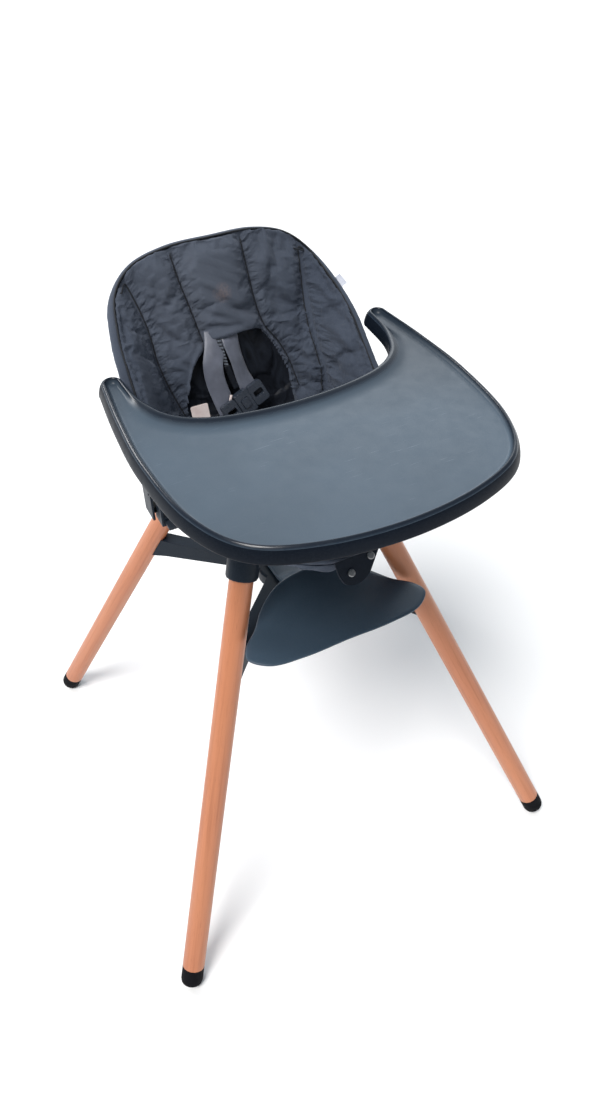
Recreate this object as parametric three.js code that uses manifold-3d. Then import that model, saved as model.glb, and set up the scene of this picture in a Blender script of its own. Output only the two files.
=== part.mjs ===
// A baby high chair on four splayed wooden legs: bucket seat with a padded cover, wrap-round tray on
// side rails, harness with a buckle, scooped footrest and a cross brace between the legs.
// Millimetres, +Z up. The origin is on the floor midway between the four feet. The sitter faces -Y,
// and "left" is the -X side.
import * as THREE from "three";
import { mergeVertices } from "three/addons/utils/BufferGeometryUtils.js";
import Module from "manifold-3d";

const wasm = await Module();
wasm.setup();

// ---- driving dimensions ----------------------------------------------------------------------------
const GAP = 0.35; // air kept between pieces that touch
const ROUND = 18; // segments round a leg-sized cylinder

// The four leg axes lean outwards along the diagonals and would meet on the chair's axis.
const LEG_RADIUS = 16.2;
const LEG_SPREAD = 0.375; // sideways run per unit of drop, in X and in Y alike
const LEG_APEX = 850; // height where the axes would meet
const LEG_TOP = 592; // height of a leg's upper end
const LEG_COS = 1 / Math.hypot(1, LEG_SPREAD, LEG_SPREAD); // height gained per unit along a leg
const TENON_RADIUS = 13.2; // the turned-down end inside the foot

const FOOT_WALL_TOP = 35; // along the leg, from the floor
const FOOT_END = 3.6;
const FOOT_ROUND = 8;
const FOOT_FLOOR = 4;

const COLLAR_RADIUS = 21.6;
const COLLAR_BOTTOM = 570; // height
const STUD_RADIUS = 4;
const STUD_EMBEDDED = 32; // length of stud inside the leg

const BASE_TOP = 611; // the seat shell stands on this plane
const BASE_THICK = 13;
const BASE_ARM_WIDTH = 40;
const BOSS_RADIUS = 24;
const BASE_RADIUS = 78;

const BRACE_TOP = 460;
const BRACE_ARM_WIDTH = 20;
const BRACE_DEPTH_AT_LEG = 37;
const BRACE_DEPTH_AT_HUB = 18;
const HUB_RADIUS = 36;
const HUB_DEPTH = 26;

const SHELL_WALL = 4;
const PAD_THICK = 16; // the cover's padding on the inside of the shell
const PAD_LIP = 6; // how far the cover stands over and outside the rim
const COVER_AIR = 2.6; // the cover hangs this far clear of the shell
const HEM_DROP = 30; // how far the cover comes down outside the rim
const AROUND = 40; // stations round the seat

const TRAY_TOP = 794;
const TRAY_SKIRT = 20;
const TRAY_RIM_DEPTH = 7; // the rim above the tray's floor
const TRAY_FLOOR = 3.5;
const TRAY_RIM_WIDTH = 10;
const TRAY_WALL = 3;

const RAIL_HEIGHT = 678; // middle of the rail's flange
const RAIL_FLANGE = 4;
const RAIL_OUTER_X = 186;
const RAIL_INNER_X = 130; // inside the shell's wall, to be trimmed off
const RAIL_ROOT_DROP = 8; // how far the thick root hangs under the flange
const RAIL_FRONT = -92;
const RAIL_BACK = 18;
const BRACKET_FRONT = -78;
const BRACKET_BACK = -38;
const BRACKET_WALL = 3.5;

const FOOTREST_HEIGHT = 499;
const FOOTREST_THICK = 4;
const FOOTREST_RISE = 15; // how far the rear edge stands above the front

// ---- colours ---------------------------------------------------------------------------------------
const finish = (color, roughness, metalness = 0) =>
  new THREE.MeshStandardMaterial({ color, roughness, metalness });
const BEECH = finish(0xc98a5a, 0.55);
const PLASTIC = finish(0x2b333d, 0.5);
const RUBBER = finish(0x15171a, 0.85);
const COVER = finish(0x20242b, 0.95);
const WEBBING = finish(0x191b20, 0.6);
const STEEL = finish(0xb9bdc2, 0.3, 1);
const LABEL = finish(0xe9dfdc, 0.9);

// ---- solids ----------------------------------------------------------------------------------------
const vec = (x, y, z) => new THREE.Vector3(x, y, z);

// A closed geometry as a solid with its faces outwards.
function solid(geometry) {
  const bare = geometry.clone();
  bare.deleteAttribute("normal");
  bare.deleteAttribute("uv");
  const merged = mergeVertices(bare, 1e-3);
  const build = (triVerts) =>
    new wasm.Manifold(
      new wasm.Mesh({ numProp: 3, vertProperties: merged.attributes.position.array, triVerts }),
    );
  const triangles = new Uint32Array(merged.index.array);
  const made = build(triangles);
  if (made.volume() > 0) return made;
  for (let i = 0; i < triangles.length; i += 3) {
    [triangles[i + 1], triangles[i + 2]] = [triangles[i + 2], triangles[i + 1]];
  }
  return build(triangles);
}

function geometryOf(made) {
  const { numProp, numVert, vertProperties, triVerts } = made.getMesh();
  const position = new Float32Array(numVert * 3);
  for (let i = 0; i < numVert; i++) {
    position.set(vertProperties.subarray(i * numProp, i * numProp + 3), i * 3);
  }
  const geometry = new THREE.BufferGeometry();
  geometry.setAttribute("position", new THREE.BufferAttribute(position, 3));
  geometry.setIndex(new THREE.BufferAttribute(triVerts, 1));
  return geometry;
}

const chair = new THREE.Group();

function place(name, made, material, parent = chair) {
  const mesh = new THREE.Mesh(geometryOf(made), material);
  mesh.name = name;
  parent.add(mesh);
  return mesh;
}

const moved = (geometry, x, y, z) => geometry.translate(x, y, z);
const box = (x0, x1, y0, y1, z0, z1) =>
  solid(
    moved(
      new THREE.BoxGeometry(x1 - x0, y1 - y0, z1 - z0),
      (x0 + x1) / 2,
      (y0 + y1) / 2,
      (z0 + z1) / 2,
    ),
  );

// A profile of [radius, height] pairs turned about the local Y axis.
const turned = (profile, segments = ROUND) =>
  solid(new THREE.LatheGeometry(profile.map(([r, h]) => new THREE.Vector2(r, h)), segments));

// The same, stood up along +Z on a spot of the floor plan.
const turnedUprightAt = (x, y, profile, segments = 12) =>
  solid(
    new THREE.LatheGeometry(profile.map(([r, h]) => new THREE.Vector2(r, h)), segments)
      .rotateX(Math.PI / 2)
      .translate(x, y, 0),
  );
const turnedUpright = (profile, segments) => turnedUprightAt(0, 0, profile, segments);

// A flat outline of Vector2 points extruded from one height to another.
function slab(outline, z0, z1) {
  const geometry = new THREE.ExtrudeGeometry(new THREE.Shape(outline), {
    depth: z1 - z0,
    bevelEnabled: false,
  });
  return solid(moved(geometry, 0, 0, z0));
}

// A skin closed round a loop of stations. rows[i] is the profile at station i, and every profile
// starts at one shared pole and ends at another.
function loopSkin(rows) {
  const inner = rows[0].length - 2;
  const points = [rows[0][0], rows[0][inner + 1]];
  rows.forEach((row) => points.push(...row.slice(1, -1)));
  const at = (i, j) => {
    if (j === 0) return 0;
    if (j === inner + 1) return 1;
    return 2 + (i % rows.length) * inner + j - 1;
  };
  const triangles = [];
  rows.forEach((_, i) => {
    for (let j = 0; j <= inner; j++) {
      const [a, b, c, d] = [at(i, j), at(i + 1, j), at(i + 1, j + 1), at(i, j + 1)];
      if (a !== b) triangles.push(a, b, d);
      if (c !== d) triangles.push(b, c, d);
    }
  });
  const geometry = new THREE.BufferGeometry().setFromPoints(points);
  geometry.setIndex(triangles);
  return solid(geometry);
}

// A flat band along a run of points. side is the direction of its width.
function ribbon(points, side, width, thickness) {
  const corners = [];
  points.forEach((point, i) => {
    const before = points[Math.max(i - 1, 0)];
    const after = points[Math.min(i + 1, points.length - 1)];
    const across = side.clone().normalize();
    const out = after.clone().sub(before).cross(across).normalize();
    for (const [w, t] of [[-1, -1], [1, -1], [1, 1], [-1, 1]]) {
      corners.push(
        point
          .clone()
          .addScaledVector(across, (w * width) / 2)
          .addScaledVector(out, (t * thickness) / 2),
      );
    }
  });
  const triangles = [];
  for (let i = 0; i + 1 < points.length; i++) {
    for (let k = 0; k < 4; k++) {
      const [a, b] = [4 * i + k, 4 * i + ((k + 1) % 4)];
      triangles.push(a, b, b + 4, a, b + 4, a + 4);
    }
  }
  const last = 4 * (points.length - 1);
  triangles.push(0, 2, 1, 0, 3, 2, last, last + 1, last + 2, last, last + 2, last + 3);
  const geometry = new THREE.BufferGeometry().setFromPoints(corners);
  geometry.setIndex(triangles);
  return solid(geometry);
}

// The right half of an outline, from the front centre to the back centre, with its mirror image.
const mirrored = (half) => [
  ...half,
  ...half
    .slice(1, -1)
    .reverse()
    .map((p) => (p.isVector3 ? vec(-p.x, p.y, p.z) : new THREE.Vector2(-p.x, p.y))),
];

// ---- legs ------------------------------------------------------------------------------------------
const alongLeg = (height) => height / LEG_COS;
const SIDES = { front_left: [-1, -1], front_right: [1, -1], rear_left: [-1, 1], rear_right: [1, 1] };

// A group whose local Y axis runs up the leg from the floor.
function legFrame([sx, sy]) {
  const group = new THREE.Group();
  group.position.set(sx * LEG_SPREAD * LEG_APEX, sy * LEG_SPREAD * LEG_APEX, 0);
  const axis = vec(-sx * LEG_SPREAD, -sy * LEG_SPREAD, 1).normalize();
  group.quaternion.setFromUnitVectors(vec(0, 1, 0), axis);
  group.updateMatrix();
  return group;
}

const LEG_END = alongLeg(LEG_TOP);
const COLLAR_LOW = alongLeg(COLLAR_BOTTOM);
const COLLAR_FLOOR = LEG_END + GAP;
const COLLAR_TOP = COLLAR_FLOOR + 5.5;
const BOSS_LOW = COLLAR_TOP + GAP;
const STUD_HOLE = STUD_RADIUS + GAP;
const STUD_TOP = BOSS_LOW + 9;

function leg(frame, screwFrame) {
  const dowel = turned([
    [0, FOOT_END + FOOT_FLOOR],
    [TENON_RADIUS, FOOT_END + FOOT_FLOOR],
    [TENON_RADIUS, FOOT_WALL_TOP + GAP],
    [LEG_RADIUS, FOOT_WALL_TOP + GAP],
    [LEG_RADIUS, LEG_END],
    [STUD_HOLE, LEG_END],
    [STUD_HOLE, LEG_END - STUD_EMBEDDED - GAP],
    [0, LEG_END - STUD_EMBEDDED - GAP],
  ]);
  const pilot = alongFrame(screwFrame, ARM_BORE, -LEG_RADIUS - 4, BRACE_SCREW_TIP + GAP, 12);
  return dowel.subtract(intoFrame(frame, pilot));
}

// A rubber cup with a rounded lower edge, ground flat where it meets the floor.
function foot(frame) {
  const bore = TENON_RADIUS + GAP;
  const roundEdge = [30, 60].map((degrees) => {
    const turn = (degrees * Math.PI) / 180;
    return [
      LEG_RADIUS - FOOT_ROUND + FOOT_ROUND * Math.sin(turn),
      FOOT_END + FOOT_ROUND - FOOT_ROUND * Math.cos(turn),
    ];
  });
  const cup = turned([
    [0, FOOT_END],
    [LEG_RADIUS - FOOT_ROUND, FOOT_END],
    ...roundEdge,
    [LEG_RADIUS, FOOT_END + FOOT_ROUND],
    [LEG_RADIUS, FOOT_WALL_TOP],
    [bore, FOOT_WALL_TOP],
    [bore, FOOT_END + FOOT_FLOOR - GAP],
    [0, FOOT_END + FOOT_FLOOR - GAP],
  ]);
  const { x, y } = frame.position;
  const ground = box(x - 90, x + 90, y - 90, y + 90, -40, 0);
  return cup.subtract(intoFrame(frame, ground));
}

function collar() {
  const bore = LEG_RADIUS + GAP;
  return turned([
    [bore, COLLAR_LOW],
    [COLLAR_RADIUS - 3, COLLAR_LOW],
    [COLLAR_RADIUS - 0.9, COLLAR_LOW + 0.9],
    [COLLAR_RADIUS, COLLAR_LOW + 3],
    [COLLAR_RADIUS, COLLAR_TOP],
    [STUD_HOLE, COLLAR_TOP],
    [STUD_HOLE, COLLAR_FLOOR],
    [bore, COLLAR_FLOOR],
    [bore, COLLAR_LOW],
  ]);
}

function stud() {
  return turned(
    [
      [0, LEG_END - STUD_EMBEDDED],
      [STUD_RADIUS, LEG_END - STUD_EMBEDDED],
      [STUD_RADIUS, STUD_TOP],
      [0, STUD_TOP],
    ],
    12,
  );
}

// A cylinder along a leg, in the chair's frame.
const alongFrame = (frame, radius, low, high, segments = ROUND) =>
  solid(
    new THREE.CylinderGeometry(radius, radius, high - low, segments)
      .translate(0, (low + high) / 2, 0)
      .applyMatrix4(frame.matrix),
  );

// A solid made in the chair's frame, as a leg-sized group sees it.
const intoFrame = (frame, made) =>
  solid(geometryOf(made).applyMatrix4(frame.matrix.clone().invert()));

const legFrames = Object.values(SIDES).map((signs) => {
  const frame = legFrame(signs);
  chair.add(frame);
  return frame;
});

// ---- seat base -------------------------------------------------------------------------------------
const bossReach = LEG_SPREAD * (LEG_APEX - BASE_TOP) * Math.SQRT2;
const SHELL_SCREW_XY = 52; // the screws stand at plus and minus this in X and in Y
const SCREW_RADIUS = 2.5;
const SCREW_HEAD_RADIUS = 5;
const SCREW_HEAD_THICK = 3;
const FOOTREST_SCREW_X = 12;
const FOOTREST_SCREW_Y = -2;

const shellScrewSpots = [-SHELL_SCREW_XY, SHELL_SCREW_XY].flatMap((x) =>
  [-SHELL_SCREW_XY, SHELL_SCREW_XY].map((y) => [x, y]),
);

// A clearance hole for a screw that stands upright.
const uprightBore = (x, y, z0, z1) =>
  turnedUprightAt(x, y, [[0, z0], [SCREW_RADIUS + GAP, z0], [SCREW_RADIUS + GAP, z1], [0, z1]]);

// A bar of full width along one diagonal of the chair, turned from the X axis.
const diagonalBar = (turns, x0, x1, width, z0, z1) =>
  solid(
    new THREE.BoxGeometry(x1 - x0, width, z1 - z0)
      .translate((x0 + x1) / 2, 0, (z0 + z1) / 2)
      .rotateZ((turns * Math.PI) / 4),
  );

function seatBase() {
  const low = BASE_TOP - BASE_THICK;
  const middle = [
    [0, low],
    [BASE_RADIUS - 8, low],
    [BASE_RADIUS, low + 5],
    [BASE_RADIUS, BASE_TOP],
    [0, BASE_TOP],
  ];
  let base = turnedUpright(middle, 40);
  for (const turns of [1, 3]) {
    base = base.add(diagonalBar(turns, -bossReach, bossReach, BASE_ARM_WIDTH, low, BASE_TOP));
  }
  for (const frame of legFrames) {
    base = base.add(alongFrame(frame, BOSS_RADIUS, BOSS_LOW, BOSS_LOW + 40));
  }
  for (const frame of legFrames) {
    base = base.subtract(alongFrame(frame, BOSS_RADIUS + 4, BOSS_LOW - 60, BOSS_LOW));
    base = base.subtract(alongFrame(frame, STUD_HOLE, BOSS_LOW - 1, STUD_TOP + GAP, 12));
  }
  base = base.subtract(box(-200, 200, -200, 200, BASE_TOP, BASE_TOP + 60));
  for (const [x, y] of shellScrewSpots) {
    base = base.subtract(uprightBore(x, y, BASE_TOP - 40, BASE_TOP + 5));
  }
  return base;
}
place("seat_base", seatBase(), PLASTIC);

// ---- cross brace -----------------------------------------------------------------------------------
const legReachAt = (height) => LEG_SPREAD * (LEG_APEX - height) * Math.SQRT2;

// One arm in profile: a tapered bar from the hub to the leg, drawn in its own vertical plane.
function braceArm(signs) {
  const reach = legReachAt(BRACE_TOP - BRACE_DEPTH_AT_LEG / 2);
  const side = new THREE.Shape([
    new THREE.Vector2(0, BRACE_TOP - BRACE_DEPTH_AT_HUB),
    new THREE.Vector2(HUB_RADIUS + 20, BRACE_TOP - BRACE_DEPTH_AT_HUB),
    new THREE.Vector2(reach - 30, BRACE_TOP - BRACE_DEPTH_AT_LEG + 6),
    new THREE.Vector2(reach, BRACE_TOP - BRACE_DEPTH_AT_LEG),
    new THREE.Vector2(reach, BRACE_TOP),
    new THREE.Vector2(0, BRACE_TOP),
  ]);
  const bar = new THREE.ExtrudeGeometry(side, { depth: BRACE_ARM_WIDTH, bevelEnabled: false });
  bar.translate(0, 0, -BRACE_ARM_WIDTH / 2).rotateX(Math.PI / 2);
  return solid(bar.rotateZ(Math.atan2(signs[1], signs[0])));
}

const BRACE_SCREW_HEIGHT = 442;
const SCREW_HEAD_AT = -LEG_RADIUS - 9; // where a brace screw's head bears, from the leg's axis
const BRACE_SCREW_TIP = 5; // how far it passes that axis
const ARM_BORE = SCREW_RADIUS + GAP;

// A screw axis frame: local Y points outwards and square to the leg, from the arm into the wood.
function braceScrewFrame([sx, sy]) {
  const group = new THREE.Group();
  const reach = LEG_SPREAD * (LEG_APEX - BRACE_SCREW_HEIGHT);
  group.position.set(sx * reach, sy * reach, BRACE_SCREW_HEIGHT);
  const outwards = vec(sx / Math.SQRT2, sy / Math.SQRT2, 0);
  const axis = vec(-sx * LEG_SPREAD, -sy * LEG_SPREAD, 1).normalize();
  outwards.addScaledVector(axis, -outwards.dot(axis)).normalize();
  group.quaternion.setFromUnitVectors(vec(0, 1, 0), outwards);
  group.updateMatrix();
  return group;
}

function screw(length, segments = 12) {
  return turned(
    [
      [0, -SCREW_HEAD_THICK],
      [SCREW_HEAD_RADIUS - 1.5, -SCREW_HEAD_THICK],
      [SCREW_HEAD_RADIUS, -SCREW_HEAD_THICK + 1.5],
      [SCREW_HEAD_RADIUS, 0],
      [SCREW_RADIUS, 0],
      [SCREW_RADIUS, length],
      [0, length],
    ],
    segments,
  );
}

const braceScrewFrames = Object.values(SIDES).map(braceScrewFrame);

function crossBrace() {
  let brace = turnedUpright(
    [
      [0, BRACE_TOP - HUB_DEPTH],
      [HUB_RADIUS - 6, BRACE_TOP - HUB_DEPTH],
      [HUB_RADIUS, BRACE_TOP - HUB_DEPTH + 6],
      [HUB_RADIUS, BRACE_TOP - 3],
      [HUB_RADIUS - 3, BRACE_TOP],
      [0, BRACE_TOP],
    ],
    32,
  );
  Object.values(SIDES).forEach((signs) => {
    brace = brace.add(braceArm(signs));
  });
  legFrames.forEach((frame, i) => {
    brace = brace.subtract(alongFrame(frame, LEG_RADIUS + GAP, COLLAR_LOW - 220, COLLAR_LOW - 40));
    const screwFrame = braceScrewFrames[i];
    const headBore = SCREW_HEAD_RADIUS + 1.5;
    brace = brace.subtract(alongFrame(screwFrame, ARM_BORE, -60, 0, 12));
    brace = brace.subtract(alongFrame(screwFrame, headBore, -110, SCREW_HEAD_AT + GAP, 12));
  });
  for (const x of [-FOOTREST_SCREW_X, FOOTREST_SCREW_X]) {
    brace = brace.subtract(uprightBore(x, FOOTREST_SCREW_Y, BRACE_TOP - 18, BRACE_TOP + 5));
  }
  return brace;
}

Object.keys(SIDES).forEach((side, i) => {
  const frame = legFrames[i];
  place("leg_" + side, leg(frame, braceScrewFrames[i]), BEECH, frame);
  place("foot_" + side, foot(frame), RUBBER, frame);
  place("collar_" + side, collar(), PLASTIC, frame);
  place("leg_stud_" + side, stud(), STEEL, frame);
});

braceScrewFrames.forEach((frame, i) => {
  chair.add(frame);
  const made = screw(BRACE_SCREW_TIP - SCREW_HEAD_AT);
  const mesh = place("brace_screw_" + Object.keys(SIDES)[i], made, STEEL, frame);
  mesh.position.y = SCREW_HEAD_AT;
});
place("cross_brace", crossBrace(), PLASTIC);

// ---- footrest --------------------------------------------------------------------------------------
const FOOTREST_FRONT = -205;
const FOOTREST_REAR = -76;

// How high the footrest's upper face stands: scooped up at the rear, and a little at the ends.
function footrestHeight(x, y) {
  const back = THREE.MathUtils.clamp((y + 160) / (160 + FOOTREST_REAR), 0, 1);
  return FOOTREST_HEIGHT + FOOTREST_RISE * back ** 2 + 4 * Math.abs(x / 137) ** 3;
}

function footrestPlate() {
  const half = [
    [0, FOOTREST_FRONT],
    [62, FOOTREST_FRONT - 1],
    [112, -200],
    [134, -180],
    [128, -160],
    [106, -138],
    [80, -107],
    [46, -84],
    [0, FOOTREST_REAR],
  ].map(([x, y]) => vec(x, y, 0));
  const outline = new THREE.CatmullRomCurve3(mirrored(half), true).getPoints(44).slice(0, -1);
  const middle = vec(0, -146, 0);
  const fractions = [0, 0.35, 0.7, 1];
  const lift = (p, down) => vec(p.x, p.y, footrestHeight(p.x, p.y) - down);
  return loopSkin(
    outline.map((edge) => {
      const spoke = fractions.map((f) => middle.clone().lerp(edge, f));
      const upper = spoke.map((p) => lift(p, 0));
      const lower = spoke.map((p) => lift(p, FOOTREST_THICK)).reverse();
      return [...upper, ...lower];
    }),
  );
}

const NECK_WIDTH = 44;
const NECK_THICK = 8;

// The plate and the neck that carries it back and down onto the hub.
function footrest() {
  const seatZ = BRACE_TOP + GAP + NECK_THICK / 2;
  const path = [
    [-118, 496],
    [-92, 498],
    [-72, 492],
    [-54, 479],
    [-36, seatZ + 3],
    [-22, seatZ],
    [16, seatZ],
  ].map(([y, z]) => vec(0, y, z));
  let piece = footrestPlate().add(ribbon(path, vec(1, 0, 0), NECK_WIDTH, NECK_THICK));
  for (const x of [-FOOTREST_SCREW_X, FOOTREST_SCREW_X]) {
    piece = piece.subtract(uprightBore(x, FOOTREST_SCREW_Y, BRACE_TOP - 20, BRACE_TOP + 40));
  }
  return piece;
}
place("footrest", footrest(), PLASTIC);

for (const [side, x] of [["left", -FOOTREST_SCREW_X], ["right", FOOTREST_SCREW_X]]) {
  const mesh = place("footrest_screw_" + side, screw(24), STEEL);
  mesh.rotation.x = -Math.PI / 2;
  mesh.position.set(x, FOOTREST_SCREW_Y, BRACE_TOP + NECK_THICK + 2 * GAP);
}

// ---- seat shell and cover --------------------------------------------------------------------------
// Pairs of points round half of the bucket, from the front centre to the back centre: on the rim, and
// where the wall would meet the pan.
const BUCKET = [
  { rim: [0, -190, 634], foot: [0, -150, 617] },
  { rim: [68, -178, 650], foot: [60, -143, 617] },
  { rim: [124, -142, 672], foot: [110, -117, 616] },
  { rim: [156, -90, 688], foot: [142, -74, 615] },
  { rim: [169, -30, 698], foot: [154, -20, 615] },
  { rim: [169, 22, 720], foot: [154, 28, 616] },
  { rim: [167, 58, 752], foot: [145, 62, 618] },
  { rim: [165, 90, 782], foot: [127, 89, 620] },
  { rim: [159, 130, 809], foot: [103, 104, 623] },
  { rim: [142, 176, 840], foot: [78, 111, 626] },
  { rim: [110, 193, 866], foot: [52, 113, 627] },
  { rim: [61, 192, 882], foot: [28, 114, 628] },
  { rim: [0, 187, 886], foot: [0, 114, 628] },
];
const PAN_CENTRE = vec(0, -10, BASE_TOP + 1);
const BIGHT = 34; // the length of wall and of pan that the rounding between them takes

const bucketLoop = (key) =>
  new THREE.CatmullRomCurve3(mirrored(BUCKET.map((pair) => vec(...pair[key]))), true);

// The outer face of the shell as a grid: row 0 is the rim, and the last row is next to the pan's centre.
function bucketGrid() {
  const rims = bucketLoop("rim");
  const feet = bucketLoop("foot");
  return Array.from({ length: AROUND }, (_, i) => {
    const rim = rims.getPoint(i / AROUND);
    const corner = feet.getPoint(i / AROUND);
    const wallEnd = corner.clone().lerp(rim, Math.min(0.5, BIGHT / rim.distanceTo(corner)));
    const panStart = corner.clone().lerp(PAN_CENTRE, BIGHT / PAN_CENTRE.distanceTo(corner));
    const bend = new THREE.QuadraticBezierCurve3(wallEnd, corner, panStart);
    const wall = [0, 1 / 3, 2 / 3].map((f) => rim.clone().lerp(wallEnd, f));
    return [...wall, ...bend.getPoints(4), panStart.clone().lerp(PAN_CENTRE, 0.5)];
  });
}
const grid = bucketGrid();
const ROWS = grid[0].length;
const TOWARDS_SITTER = vec(0, -20, 800);

// The direction from the shell's outer face into the bucket.
function inward(i, j) {
  const round = grid[(i + 1) % AROUND][j].clone().sub(grid[(i + AROUND - 1) % AROUND][j]);
  const down = grid[i][Math.min(j + 1, ROWS - 1)].clone().sub(grid[i][Math.max(j - 1, 0)]);
  const normal = round.cross(down).normalize();
  return normal.dot(TOWARDS_SITTER.clone().sub(grid[i][j])) < 0 ? normal.negate() : normal;
}
const upWall = (i) => grid[i][0].clone().sub(grid[i][1]).normalize();
const face = (i, j, offset) => grid[i][j].clone().addScaledVector(inward(i, j), offset);
const panMiddle = (offset) => PAN_CENTRE.clone().setZ(PAN_CENTRE.z + offset);
const stations = Array.from({ length: AROUND }, (_, i) => i);
const rowsDown = Array.from({ length: ROWS }, (_, j) => j);
const rowsUp = [...rowsDown].reverse();

function seatShell() {
  const shell = loopSkin(
    stations.map((i) => [
      panMiddle(SHELL_WALL),
      ...rowsUp.map((j) => face(i, j, SHELL_WALL)),
      ...rowsDown.map((j) => face(i, j, 0)),
      panMiddle(0),
    ]),
  );
  return shellScrewSpots.reduce(
    (made, [x, y]) => made.subtract(uprightBore(x, y, BASE_TOP - 5, BASE_TOP + 40)),
    shell,
  );
}

// The cover's thickness over the shell grows from the rim to the full padding.
function padOffset(j) {
  const swell = THREE.MathUtils.smoothstep(j, 0, 2);
  return SHELL_WALL + PAD_LIP + (PAD_THICK - PAD_LIP) * swell;
}

// A point of the hem: part of the way down the outside of the wall.
function hemPoint(i, offset) {
  const wallLength = grid[i][0].distanceTo(grid[i][3]);
  const down = Math.min(HEM_DROP, 0.6 * wallLength);
  return grid[i][0].clone().addScaledVector(upWall(i), -down).addScaledVector(inward(i, 1), offset);
}

function seatCover() {
  const clear = SHELL_WALL + COVER_AIR;
  const lip = (i, offset, up) => face(i, 0, offset).addScaledVector(upWall(i), up);
  return loopSkin(
    stations.map((i) => [
      panMiddle(clear + PAD_THICK),
      ...rowsUp.map((j) => face(i, j, padOffset(j))),
      lip(i, SHELL_WALL + PAD_LIP - 2, PAD_LIP - 1),
      lip(i, SHELL_WALL / 2, PAD_LIP),
      lip(i, -PAD_LIP + 2, PAD_LIP - 1),
      face(i, 0, -PAD_LIP),
      hemPoint(i, -PAD_LIP),
      hemPoint(i, -COVER_AIR),
      lip(i, -COVER_AIR, COVER_AIR),
      lip(i, clear, COVER_AIR),
      ...rowsDown.slice(1).map((j) => face(i, j, clear)),
      panMiddle(clear),
    ]),
  );
}
place("seat_shell", seatShell(), PLASTIC);

for (const [x, y] of shellScrewSpots) {
  const name = `seat_screw_${y < 0 ? "front" : "rear"}_${x < 0 ? "left" : "right"}`;
  const mesh = place(name, screw(18), STEEL);
  mesh.rotation.x = Math.PI / 2;
  mesh.position.set(x, y, BASE_TOP - BASE_THICK - GAP);
}

// ---- side rails on the shell -----------------------------------------------------------------------
const LEFT = -1;
const RIGHT = 1;
const HANDS = [["left", LEFT], ["right", RIGHT]];

// A box given by how far out from the chair's middle plane it lies, on one side.
const sideBox = (hand, x0, x1, y0, y1, z0, z1) =>
  hand === RIGHT ? box(x0, x1, y0, y1, z0, z1) : box(-x1, -x0, y0, y1, z0, z1);

// The shell's outline as one solid plug, grown outwards, to trim what stands against it.
const shellPlug = (grow) =>
  loopSkin(
    stations.map((i) => [
      panMiddle(150),
      face(i, 0, -grow).addScaledVector(upWall(i), 12),
      ...rowsDown.map((j) => face(i, j, -grow)),
      panMiddle(-grow),
    ]),
  );

function sideRail(hand) {
  const low = RAIL_HEIGHT - RAIL_FLANGE / 2;
  const high = RAIL_HEIGHT + RAIL_FLANGE / 2;
  const flange = sideBox(hand, RAIL_INNER_X, RAIL_OUTER_X, RAIL_FRONT, RAIL_BACK, low, high);
  const rootSpan = [RAIL_FRONT + 6, RAIL_BACK - 6, low - RAIL_ROOT_DROP, high];
  const root = sideBox(hand, RAIL_INNER_X, RAIL_OUTER_X - 16, ...rootSpan);
  return flange.add(root).subtract(shellPlug(GAP));
}

for (const [side, hand] of HANDS) place("tray_rail_" + side, sideRail(hand), PLASTIC);

// The cover is slit where the rails come through it.
function slitCover() {
  const span = [RAIL_FRONT - 2, RAIL_BACK + 2];
  const low = RAIL_HEIGHT - RAIL_FLANGE / 2 - RAIL_ROOT_DROP - 2;
  const high = RAIL_HEIGHT + RAIL_FLANGE / 2 + 2;
  return HANDS.reduce((made, [, hand]) => {
    const slit = sideBox(hand, RAIL_INNER_X, RAIL_OUTER_X, ...span, low, high);
    return made.subtract(slit.subtract(shellPlug(0)));
  }, seatCover());
}
const cover = slitCover();
place("seat_cover", cover, COVER);

// ---- tray ------------------------------------------------------------------------------------------
const TRAY_FRONT = -324;
const ARM_TIP = { x: 187, y: 66, radius: 18 }; // the round end of each arm
const SPAN_STEPS = 4; // points along each span of the outline's curves
const TRAY_LOW = TRAY_TOP - TRAY_SKIRT;
const TRAY_UNDERSIDE = TRAY_TOP - TRAY_RIM_DEPTH - TRAY_FLOOR;

const spline = (pairs, steps) =>
  new THREE.SplineCurve(pairs.map(([x, y]) => new THREE.Vector2(x, y))).getPoints(steps);

// A curve that leaves the middle line squarely, so that it meets its mirror image without a corner.
const fromMiddle = (pairs) => {
  const [[x, y]] = pairs.slice(1);
  return spline([[-x, y], ...pairs], SPAN_STEPS * pairs.length).slice(SPAN_STEPS);
};

// The tray's outline: bowed front, full corners, and two arms round the seat's cut-out.
function trayOutline() {
  const { x, y, radius } = ARM_TIP;
  const outer = fromMiddle([
    [0, TRAY_FRONT],
    [96, -312],
    [167, -278],
    [204, -208],
    [216, -104],
    [213, -14],
    [x + radius, y],
  ]);
  const tip = [1, 2, 3, 4, 5].map((n) => {
    const turn = (n * Math.PI) / 6;
    return new THREE.Vector2(x + radius * Math.cos(turn), y + radius * Math.sin(turn));
  });
  const inner = fromMiddle([[0, -71], [58, -67], [112, -54], [147, -29], [164, 9], [x - radius, y]]);
  return mirrored([...outer, ...tip, ...inner.reverse()]);
}

// An outline moved inwards by a distance, point by point.
function inset(outline, distance) {
  return outline.map((point, i) => {
    const before = outline[(i + outline.length - 1) % outline.length];
    const after = outline[(i + 1) % outline.length];
    const along = after.clone().sub(before).normalize();
    return new THREE.Vector2(point.x - along.y * distance, point.y + along.x * distance);
  });
}

function trayBody() {
  const outline = trayOutline();
  const well = slab(inset(outline, TRAY_RIM_WIDTH), TRAY_TOP - TRAY_RIM_DEPTH, TRAY_TOP + 1);
  const hollow = slab(inset(outline, TRAY_WALL), TRAY_LOW - 1, TRAY_UNDERSIDE);
  return slab(outline, TRAY_LOW, TRAY_TOP).subtract(well).subtract(hollow);
}
place("tray_body", trayBody(), PLASTIC);

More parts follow.
